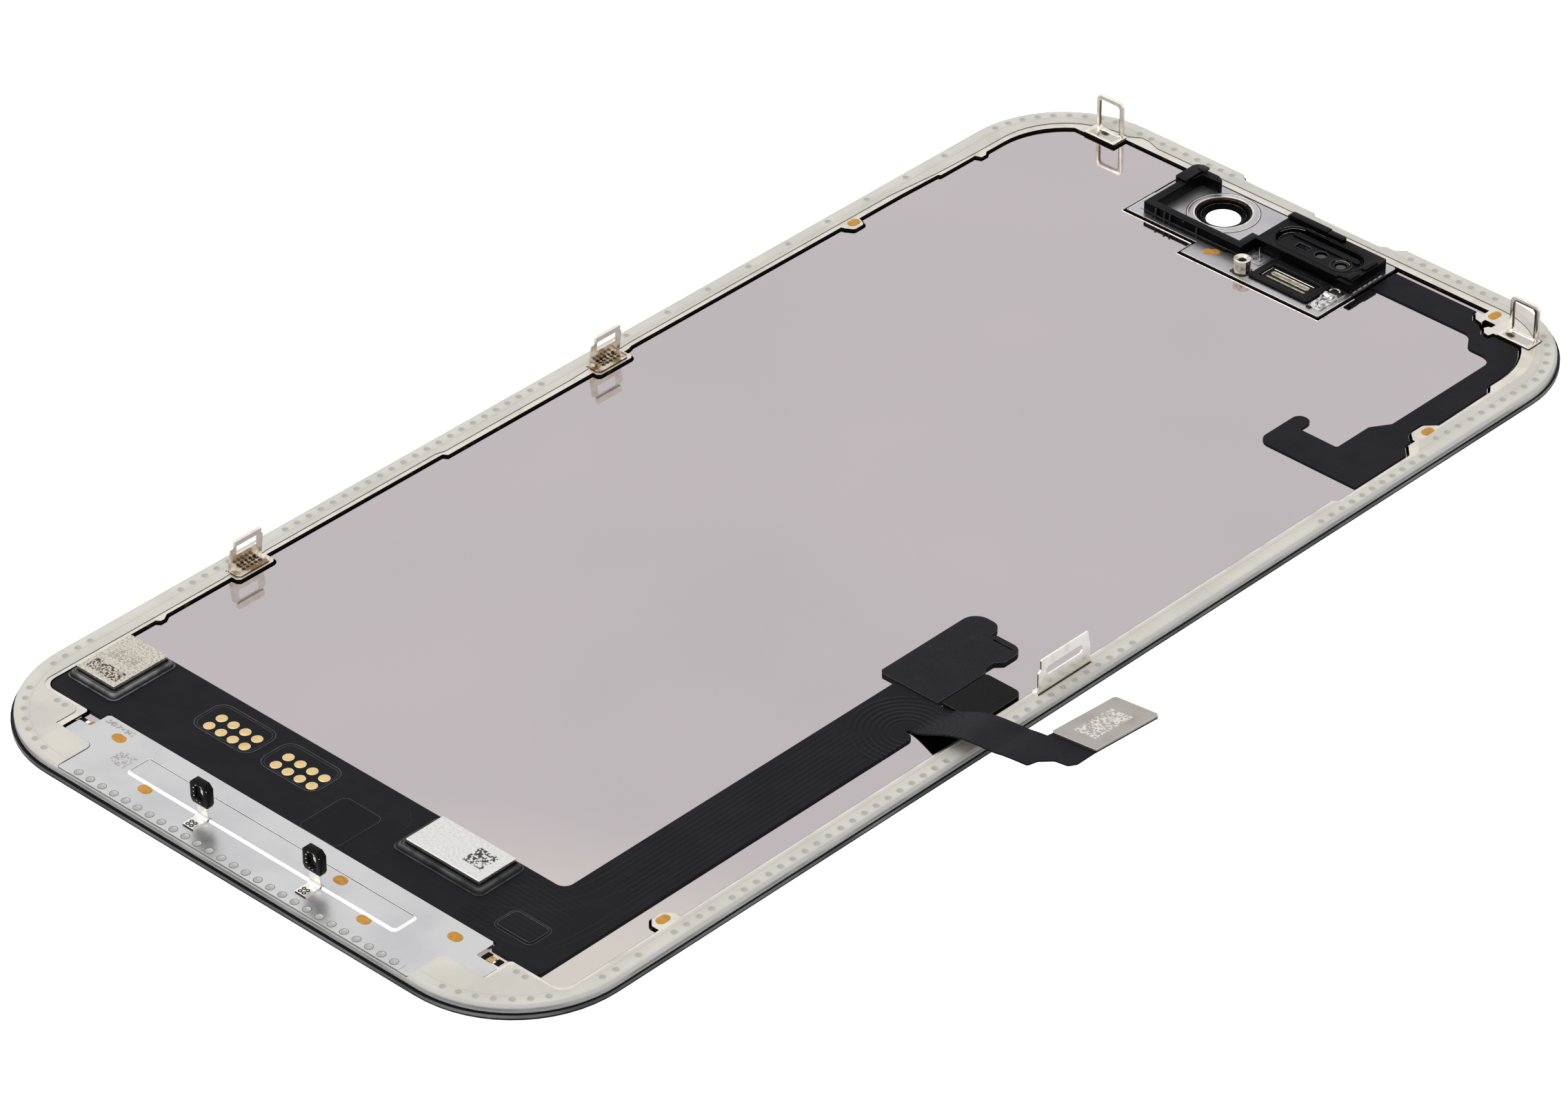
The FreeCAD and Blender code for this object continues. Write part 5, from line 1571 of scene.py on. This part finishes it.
@dataclass
class FilmLines:
    """Outlines and creases of the main circuit's cover film."""

    box: Round = Round(21.85, 25.95, -62.4, -59.9, 0.45)
    patch: Round = Round(-0.35, 4.35, -64.18, -58.58, 0.6)
    creases: tuple[tuple[Point, ...], ...] = (
        ((5.2, -56.2), (6.6, -57.2), (6.8, -59.4)),
        ((18.9, -57.6), (21.6, -56.4), (23.4, -54.4), (23.9, -50.0)),
        ((18.9, -58.9), (23.0, -57.4), (24.8, -54.6), (25.1, -48.0)),
        ((19.0, -61.3), (23.4, -58.6), (26.2, -55.4), (26.5, -46.0)),
        ((20.4, -63.4), (26.6, -63.4), (28.6, -60.6), (28.9, -50.0)),
        ((27.4, -61.9), (28.0, -58.0), (28.1, -46.0)),
    )

    def build(self) -> None:
        """Make the lines."""
        z = flex_top()
        piece = Piece("film_outlines")
        piece.bead(self.box, 0.06, z + 0.06, 0.02)
        piece.bead(self.box.grown(0.25), 0.05, z, 0.02)
        piece.bead(self.patch.grown(0.04), 0.05, z, 0.04)
        piece.finish(LINE, Slot.FILM)
        creases = Piece("film_creases")
        for places in self.creases:
            points = [Vector((x, y, z + 0.002)) for x, y in places]
            smooth = [a.lerp(b, k / 6) for a, b in zip(points, points[1:]) for k in range(6)] + [points[-1]]
            for _ in range(6):
                smooth[1:-1] = [(a + b + c) / 3 for a, b, c in zip(smooth, smooth[1:], smooth[2:])]
            creases.rod(smooth, 0.03, 0.3)
        creases.finish(CREASE, Slot.FILM)


@dataclass
class BracketMarks:
    """The bracket's row of filled holes with rings of painted shade, and the slopes around its rib with
    painted highlight and shade.
    """

    count: int = 27
    pitch: float = 1.505
    middle: float = -0.1
    y: float = -71.95
    radius: float = 0.39
    sunk: float = 0.1
    rib: Round = Round(-16.6, 16.5, -69.0, -66.4, 0.35)
    slope: float = 0.2

    def build(self) -> None:
        """Make the marks."""
        strip = bracket_top() + 0.06
        fill = Piece("strip_fillings")
        # Rings of painted shade around the holes.
        rings = Piece("strip_shade_rings")
        r = self.radius
        for i in range(self.count):
            x = self.middle + (i - (self.count - 1) / 2) * self.pitch
            fill.disc(x, self.y, strip + 0.004, r, r, 24)
            section = [(r - 0.02, strip - self.sunk), (r - 0.02, strip + 0.012), (r + 0.03, strip + 0.012),
                       (r + 0.03, strip - self.sunk)]
            rings.lathe((x, self.y), section, 5)
        fill.finish(STRIP_DIMPLE, Slot.BRACKET)
        rings.finish(HOLE_SHADE_RING, Slot.BRACKET, smooth=60.0)
        low, high = bracket_top(), top_of("bottom_bracket")
        # Rib slopes with painted highlight and shade.
        slopes = Piece("rib_slopes")
        section = [(0.0, low), (0.0, high + 0.012), (0.12, high + 0.016), (0.24, high + 0.004),
                   (0.85, low + 0.03), (1.0, low)]
        slopes.terrace(self.rib.grown(-0.08), self.rib.grown(self.slope), section, 6)
        slopes.finish(RIB_PAINTED_LIGHT, Slot.BRACKET, smooth=60.0)


@dataclass
class EarBits:
    """Gold, silver and dark ends of inner layers that show beside the bracket's ears."""

    gold: Spots = ((-24.6, -24.0, -66.45, -65.75), (24.6, 25.3, -66.3, -65.55))
    dark: Spots = ((-25.75, -25.05, -66.6, -65.9), (24.0, 24.6, -66.3, -65.3), (25.35, 26.0, -66.2, -65.4))
    silver: Spots = ((-25.05, -24.65, -66.35, -66.0), (-26.0, -25.8, -66.7, -66.0),
                     (25.3, 25.5, -66.2, -65.9), (25.25, 26.4, -67.6, -66.35))
    thickness: float = 0.03

    def build(self) -> None:
        """Make the bits."""
        z = top_of("back_plate")
        for name, boxes, finish, lift in (
            ("ear_gold_bits", self.gold, BRONZE, 0.03), ("ear_dark_bits", self.dark, HOLE, 0.0),
            ("ear_silver_bits", self.silver, STRAP, 0.05),
        ):
            piece = Piece(name)
            for x0, x1, y0, y1 in boxes:
                piece.slab(Round(x0, x1, y0, y1, 0.08), z, z + self.thickness + lift, 0.01, 3)
            piece.finish(finish, Slot.BRACKET)


@dataclass
class WeldMarks:
    """Marks where the clips, loops and hooks are welded."""

    clip_xs: Point = (-31.75, -32.25)
    clip_ys: Point = (7.2, -39.0)
    clip_rise: float = 0.155
    hook_xs: Point = (-7.0, 6.95)
    hook_y: float = -70.4
    hook_rise: float = 0.15
    loop_spots: tuple[Point, ...] = ((-25.2, 68.95), (26.9, 67.5))
    loop_rise: float = 0.08

    def build(self) -> None:
        """Make the marks."""
        clip = foot_of("clip_left_upper") + self.clip_rise
        brown = Piece("clip_weld_marks")
        rings = Piece("weld_rings")
        x, beside = self.clip_xs
        for y0 in self.clip_ys:
            for i in range(5):
                y = y0 - 0.5 * i
                brown.disc(x, y, clip, 0.24, 0.26, 12)
                brown.disc(beside + 0.05, y + 0.05, clip + 0.003, 0.2, 0.22, 12)
                rings.ring((x, y), (0.08, 0.09, 0.17, 0.19), clip, 0.03, 3)
                rings.ring((beside, y), (0.05, 0.06, 0.12, 0.14), clip, 0.03, 3)
        brown.finish(WELD, Slot.CLIPS)
        foot = bracket_top() + self.hook_rise
        for x in self.hook_xs:
            for dx in (-0.23, 0.23):
                for dy in (-0.23, 0.23):
                    rings.ring((x + dx, self.hook_y + dy), (0.09, 0.1, 0.2, 0.22), foot, 0.03, 3)
        foot = foot_of("loop_top_left") + self.loop_rise
        for x, y in self.loop_spots:
            rings.ring((x, y), (0.1, 0.13, 0.2, 0.24), foot, 0.04, 4)
            rings.ring((x + 0.35, y - 0.15), (0.08, 0.104, 0.16, 0.192), foot, 0.04, 4)
        rings.finish(SOLDER, Slot.CLIPS, smooth=60.0)
        dark = Piece("loop_weld_marks")
        for x, y in self.loop_spots:
            dark.disc(x + 0.12, y - 0.05, foot + 0.004, 0.6, 0.4, 16)
        dark.finish(DARK_WELD, Slot.CLIPS)


@dataclass
class BrownEdges:
    """Dark-brown lines on the cut edges of the loops, the feet and the clips."""

    radius: float = 0.035
    opening: float = 1.28
    band: float = 0.42
    lift: float = 0.01

    def build(self) -> None:
        """Make the lines."""
        piece = Piece("brown_edge_lines")
        self.on_loop(piece, "loop_top_left", 0.6)
        self.on_loop(piece, "loop_top_right", 1.5)
        low, high = corners("clip_right")
        x, z = high.x + 0.02, low.z + 0.06
        piece.rod([(x, low.y, z), (x, high.y, z)], 0.06)
        for name in ("clip_left_upper", "clip_left_lower"):
            low, high = corners(name)
            front = [(low.x + 0.4, low.y), (high.x - 0.3, low.y)]
            side = [(high.x, low.y + 0.3), (high.x, high.y - 0.3)]
            self.around(piece, front, side, low.z + 0.06, self.radius)
        for name in ("hook_strip_left", "hook_strip_right"):
            low, high = corners(name)
            z = low.z + 0.06
            piece.rod([(low.x - self.lift, low.y + 1.2, z), (low.x - self.lift, low.y + 0.05, z),
                       (low.x + 0.1, low.y - self.lift, z), (high.x, low.y - self.lift, z)], 0.055)
        piece.finish(SOLDER, Slot.CLIPS, smooth=60.0)

    def on_loop(self, piece: Piece, name: str, bold: float) -> None:
        """Add the lines of one loop, inside its opening and around its foot.

        Args:
            piece: The piece that takes them.
            name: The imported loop.
            bold: Width of the opening's line as a share of the usual one.
        """
        low, high = corners(name)
        middle = (low.x + high.x) / 2
        left, right, top = middle - self.opening, middle + self.opening, high.z - self.band
        face = high.y - LOOP_DEPTH - self.lift
        piece.rod([(left, face, low.z + 0.3), (left, face, top - 0.3), (left + 0.25, face, top),
                   (right - 0.25, face, top), (right, face, top - 0.3), (right, face, low.z + 0.3)],
                  self.radius * bold)
        front = [(low.x + 0.1, low.y), (high.x - 0.1, low.y)]
        self.around(piece, front, [(high.x, low.y + 0.1), (high.x, high.y)], low.z + 0.05, 0.04)

    def around(self, piece: Piece, front: list[Point], side: list[Point], z: float, radius: float) -> None:
        """Add a line along a sheet's front edge and on along its right one."""
        path = [(x, y - self.lift, z) for x, y in front] + [(x + self.lift, y, z) for x, y in side]
        piece.rod(path, radius)


@dataclass
class EyeGlints:
    """White glints on the hooks' glossy eyes, around their holes and along their edges."""

    spots: Spots = ((-0.62, 1.62, 0.07), (-0.66, 1.2, 0.06), (-0.6, 0.8, 0.07), (-0.3, 0.42, 0.06),
                    (0.1, 0.38, 0.05), (-0.35, 2.0, 0.06), (0.25, 2.08, 0.05), (0.98, 1.9, 0.05))
    lines: tuple[tuple[Point, Point], ...] = (((1.1, 0.5), (1.1, 1.5)), ((-0.55, 2.4), (0.5, 2.4)))

    def build(self) -> None:
        """Make the glints."""
        piece = Piece("eye_glints")
        for side in Side:
            low, high = corners(f"hook_eye_{side.value}")
            middle = (low.x + high.x) / 2
            for x, z, r in self.spots:
                y = low.y + 0.005
                piece.rod([(middle + x - r, y, low.z + z), (middle + x + r, y, low.z + z)], r, 0.5)
            for line in self.lines:
                piece.rod([(middle + x, low.y + 0.07, low.z + z) for x, z in line], 0.03)
        piece.finish(BRIGHT, Slot.MOULDING, smooth=60.0)


@dataclass
class CameraEye:
    """What shows in the camera's bore: stepped rings with bronze lines, and a painted glowing disc in place
    of the clear spot.
    """

    centre: Point = (-7.0, 65.7)

    def build(self) -> None:
        """Make the rings and the glowing spot."""
        glass = top_of("cover_glass")
        top = cluster_top()
        edge = Piece("camera_bevel")
        edge.ring(self.centre, (2.8, 2.84, 2.95, 3.0), top + 0.02, 0.1, 14)
        edge.ring(self.centre, (3.47, 3.5, 3.55, 3.58), top, 0.03, 14)
        edge.finish(BRIGHT, Slot.CLUSTER, smooth=60.0)
        groove = Piece("camera_groove")
        groove.ring(self.centre, (3.59, 3.6, 3.66, 3.67), top, 0.02, 14)
        groove.finish(LEDGE, Slot.CLUSTER, smooth=60.0)
        bronze = Piece("camera_bronze_lines")
        for radius, z in ((2.66, top - 0.08), (2.2, glass + 0.42)):
            bronze.lathe(self.centre, [(radius - 0.015, z), (radius, z + 0.015), (radius + 0.015, z)], 14)
        bronze.finish(BRONZE, Slot.CLUSTER, smooth=60.0)
        # A glowing disc stands in for the pale ground seen through the clear spot.
        spot = Piece("camera_glowing_spot")
        spot.slab(Round.about(self.centre, 1.72, 1.72, 1.72), glass, glass + 0.03, 0.01, 12)
        spot.finish(GLOW, Slot.LENS)


@dataclass
class SensorTray:
    """Fine parts in the sensor tray: a stepped wall, seams, ledges, a window, lens rings and shiny arcs."""

    pocket: Round = Round(0.45, 10.35, 63.4, 67.1, 1.84)
    left: Point = (2.3, 65.25)
    right: Point = (8.5, 65.25)
    lens: Point = (8.3, 64.95)
    window: Point = (3.5, 65.0)
    sill: Round = Round(1.4, 9.6, 65.95, 66.6, 0.3)
    walls: tuple[tuple[Round, float, float], ...] = (
        (Round(-0.2, 4.6, 67.3, 68.15, 0.15), 0.62, 0.08),
        (Round(4.3, 6.4, 67.5, 68.15, 0.15), 0.42, 0.08),
        (Round(10.45, 11.2, 62.85, 64.3, 0.12), 0.16, 0.05),
        (Round(10.55, 11.2, 65.1, 67.0, 0.12), 0.22, 0.05),
    )

    def build(self) -> None:
        """Make the parts."""
        rim = top_of("sensor_holder") - 0.3
        floor = top_of("sensor_insert")
        body = Piece("tray_walls")
        body.bead(self.pocket.grown(0.16), 0.1, rim, 0.05, 10)
        body.bead(self.pocket.grown(-0.3), 0.08, floor, 0.1, 10)
        for outline, rise, bevel in self.walls:
            body.slab(outline, rim, rim + rise, bevel)
        body.slab(self.sill, floor, floor + 0.22, 0.05)
        body.finish(MOULDED, Slot.MOULDING, smooth=50.0)
        ledge = Piece("tray_ledges")
        ledge.bead(Round.about(self.window, 0.8, 0.42, 0.12), 0.07, floor, 0.06)
        ledge.ring((5.7, 65.15), (0.62, 0.65, 0.71, 0.75), floor, 0.07)
        ledge.ring(self.lens, (1.0, 1.03, 1.12, 1.16), floor, 0.12, 12)
        ledge.finish(LEDGE, Slot.MOULDING, smooth=50.0)
        arcs = Piece("tray_arcs")
        for radius, first, last, z in (
            (1.99, 100, 190, rim + 0.03), (1.78, 95, 180, rim - 0.1), (1.6, 110, 175, floor + 0.1),
        ):
            arcs.rod(arc(self.left, radius, first, last, z), 0.02, 0.6)
        arcs.rod(arc(self.lens, 0.86, 50, 165, floor + 0.04), 0.05, 0.6)
        arcs.finish(PEARL, Slot.CLUSTER, smooth=60.0)
        seams = Piece("tray_seams")
        for radius, first, last, z in ((1.99, -35, 60, rim + 0.03), (1.7, 10, 62, rim - 0.2)):
            seams.rod(arc(self.right, radius, first, last, z), 0.02, 0.6)
        seams.rod([(2.2, 66.62, floor + 0.24), (9.2, 66.62, floor + 0.24)], 0.025, 0.6)
        seams.finish(CREASE, Slot.CLUSTER, smooth=60.0)


@dataclass
class HolderMarks:
    """Ribs and a seam on the black holder's front wall, and a step on its arm."""

    rib_xs: tuple[float, ...] = (-11.2, -10.1, -9.4, -6.0)
    arm: Round = Round(-12.6, -11.6, 68.3, 69.05, 0.15)

    def build(self) -> None:
        """Make the ribs, the seam and the step."""
        low, high = corners("camera_holder")
        piece = Piece("holder_ribs")
        wall = cluster_top() + HOLDER_RISE
        for x in self.rib_xs:
            piece.slab(Round(x, x + 0.14, low.y - 0.05, low.y + 0.1, 0.0), low.z + 0.02, wall - 0.05, 0.02)
        piece.rod([(-13.0, low.y - 0.01, low.z + 0.45), (-0.8, low.y - 0.01, low.z + 0.45)], 0.03)
        piece.slab(self.arm, high.z - 0.05, high.z + 0.12, 0.04)
        piece.finish(LEDGE, Slot.MOULDING, smooth=50.0)


@dataclass
class SpeakerMesh:
    """The speaker's window: a dark floor and rim, a pearly pill and strip, and thin bright lines."""

    window: Round = Round(2.9, 8.55, 59.33, 61.57, 0.2)
    pill: Round = Round(3.5, 8.0, 60.3, 60.82, 0.25)
    strip: Round = Round(3.4, 8.15, 59.7, 59.95, 0.12)
    bar: float = 61.18

    def build(self) -> None:
        """Make the window's parts."""
        z = cluster_top()
        floor = Piece("speaker_floor")
        floor.slab(self.window, z, z + 0.04)
        floor.bead(self.window.grown(0.28), 0.1, top_of("speaker_frame") - 0.01, 0.05)
        floor.finish(MOULDED, Slot.MOULDING, ["speaker_grille"])
        bar = Piece("speaker_bar")
        bar.slab(self.pill, z + 0.04, z + 0.08, 0.02)
        bar.slab(self.strip, z + 0.04, z + 0.12, 0.03)
        bar.finish(PEARL, Slot.GRILLE)
        lines = Piece("speaker_lines")
        lines.bead(self.pill.grown(0.02), 0.08, z + 0.04, 0.1)
        lines.rod([(3.3, self.bar, z + 0.1), (8.2, self.bar, z + 0.1)], 0.05)
        lines.rod([(3.0, 59.6, z + 0.13), (3.0, 61.3, z + 0.13)], 0.03)
        lines.finish(BRIGHT, Slot.GRILLE, smooth=50.0)


@dataclass
class PlateEdges:
    """Bright lines of painted highlight along the cluster plate's visible edges, a dark rod of painted shade
    under them, a lower bright line as painted reflection of the plate's edge in the mirror, and more lines
    and bits around them.
    """

    step_x: float = -5.4
    step_y: float = 59.95
    # How far out the line of painted reflection lies.
    gap: float = 0.4

    def build(self) -> None:
        """Make the lines and bits."""
        low, high = corners("camera_plate")
        top = cluster_top()
        floor = top_of("back_plate")
        lines = Piece("plate_edge_lines")
        shade = Piece("plate_edge_shade")
        # Painted highlight at the plate's edge, painted shade below it, and its painted reflection further
        # out.
        for piece, z, out, radius in (
            (lines, top - 0.02, 0.03, 0.05), (shade, floor + 0.1, 0.14, 0.14),
            (lines, floor + 0.02, self.gap, 0.05),
        ):
            path = ((low.x - out, 64.0), (low.x - out, self.step_y - out),
                    (self.step_x - out, self.step_y - out), (self.step_x - out, low.y - out),
                    (high.x + out, low.y - out), (high.x + out, 62.6))
            for start, end in zip(path, path[1:]):
                piece.rod([(*start, z), (*end, z)], radius)
        shade.finish(HOLE, Slot.FOAM, smooth=60.0)
        lines.rod([(1.35, 61.2, top + 0.2), (0.3, 62.4, top + 0.5), (-0.2, 63.6, top + 0.9)], 0.03, 0.5)
        for i in range(6):
            y = 63.1 + i * 0.75
            lines.rod([(11.38, y, top + 0.05), (11.38, y + 0.5, top + 0.05)], 0.03)
        lines.finish(BRIGHT, Slot.CLUSTER, smooth=60.0)
        bits = Piece("cluster_solder")
        bits.lathe((1.1, 58.9), [(0.83, top), (0.83, top + 0.12), (0.95, top + 0.08), (1.02, top)], 6)
        bits.ring((0.35, 58.25), (0.03, 0.05, 0.16, 0.2), top, 0.08, 4)
        for x, y in ((0.7, 61.3), (0.95, 61.75), (1.3, 61.45)):
            bits.ring((x, y), (0.1, 0.12, 0.17, 0.19), top + 0.2, 0.03, 4)
        bits.slab(Round(9.6, 10.1, 58.2, 58.5, 0.05), top, top + 0.14, 0.03)
        bits.finish(SOLDER, Slot.CLUSTER, smooth=60.0)


@dataclass
class SpringFolds:
    """The folds of the earth spring beside the speaker."""

    radius: float = 0.1
    tail: float = 0.11
    flat: float = 0.6
    sides: int = 8

    def build(self) -> None:
        """Make the folds."""
        low, high = corners("contact_spring")
        top = cluster_top()
        x = (low.x + high.x) / 2
        piece = Piece("spring_folds")
        for path, radius in (
            (arc((x + 0.15, 61.4), 0.5, 200, 20, high.z), self.radius),
            (arc((x - 0.1, 60.3), 0.42, 30, 230, high.z - 0.15), self.radius),
            ([(x - 0.5, 59.6, top + 0.3), (x, 59.2, top + 0.42), (x + 0.45, 58.9, top + 0.2)], self.tail),
        ):
            piece.rod(path, radius, self.flat, self.sides)
        piece.finish(SPRING, Slot.CLUSTER, smooth=60.0)


@dataclass
class PostThread:
    """The thread's ridges in the post's hole, painted dark brown as the hole's shade, and a dark disc for the
    shaded floor.
    """

    centre: Point = (1.1, 58.9)
    pitch: float = 0.16

    def build(self) -> None:
        """Make the thread."""
        top = top_of("threaded_post")
        # The ridges are painted dark brown as shade inside the bore.
        piece = Piece("post_thread_ridges")
        for i in range(6):
            z = top - 0.24 - i * self.pitch
            piece.lathe(self.centre, [(0.42, z - 0.05), (0.35, z), (0.42, z + 0.05)], 8)
        piece.finish(SOLDER, Slot.POST, smooth=60.0)
        # A dark disc painted in as the shade at the bottom of the bore.
        bore = Piece("post_bore_shade")
        bore.slab(Round.about(self.centre, 0.4, 0.4, 0.4), top - 0.5, top - 0.42, 0.01)
        bore.finish(HOLE, Slot.POST)


@dataclass
class RoundedSolids:
    """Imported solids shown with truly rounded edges."""

    solids: dict[str, tuple[float, Finish, Slot]] = field(default_factory=lambda: {
        "hook_eye_left": (0.2, EYES, Slot.MOULDING),
        "hook_eye_right": (0.2, EYES, Slot.MOULDING),
        "loop_top_left": (0.09, LEFT_LOOP, Slot.CLIPS),
        "loop_top_right": (0.09, RIGHT_LOOP, Slot.CLIPS),
        "camera_holder": (0.1, MOULDED, Slot.MOULDING),
        "sensor_holder": (0.1, MOULDED, Slot.MOULDING),
        "speaker_frame": (0.07, MOULDED, Slot.MOULDING),
    })

    def build(self) -> None:
        """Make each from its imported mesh."""
        for node, (radius, finish, slot) in self.solids.items():
            piece = Piece(f"{node}_rounded")
            piece.soften(node, radius)
            piece.finish(finish, slot, [node], smooth=40.0)


def main() -> None:
    """Build the scene."""
    logging.basicConfig(level=logging.INFO, format="%(name)s: %(message)s")
    Studio().build()
    FINISHES.dress_nodes()
    builders = [
        FrameMarks(), OrangeSpots(), *map(ContactField, Side), *map(ChipSkirt, Side), FilmLines(),
        BracketMarks(), EarBits(), WeldMarks(), BrownEdges(), EyeGlints(), CameraEye(), SensorTray(),
        HolderMarks(), SpeakerMesh(), PlateEdges(), SpringFolds(), PostThread(), RoundedSolids(),
    ]
    for builder in builders:
        builder.build()


if __name__ == "__main__":
    main()
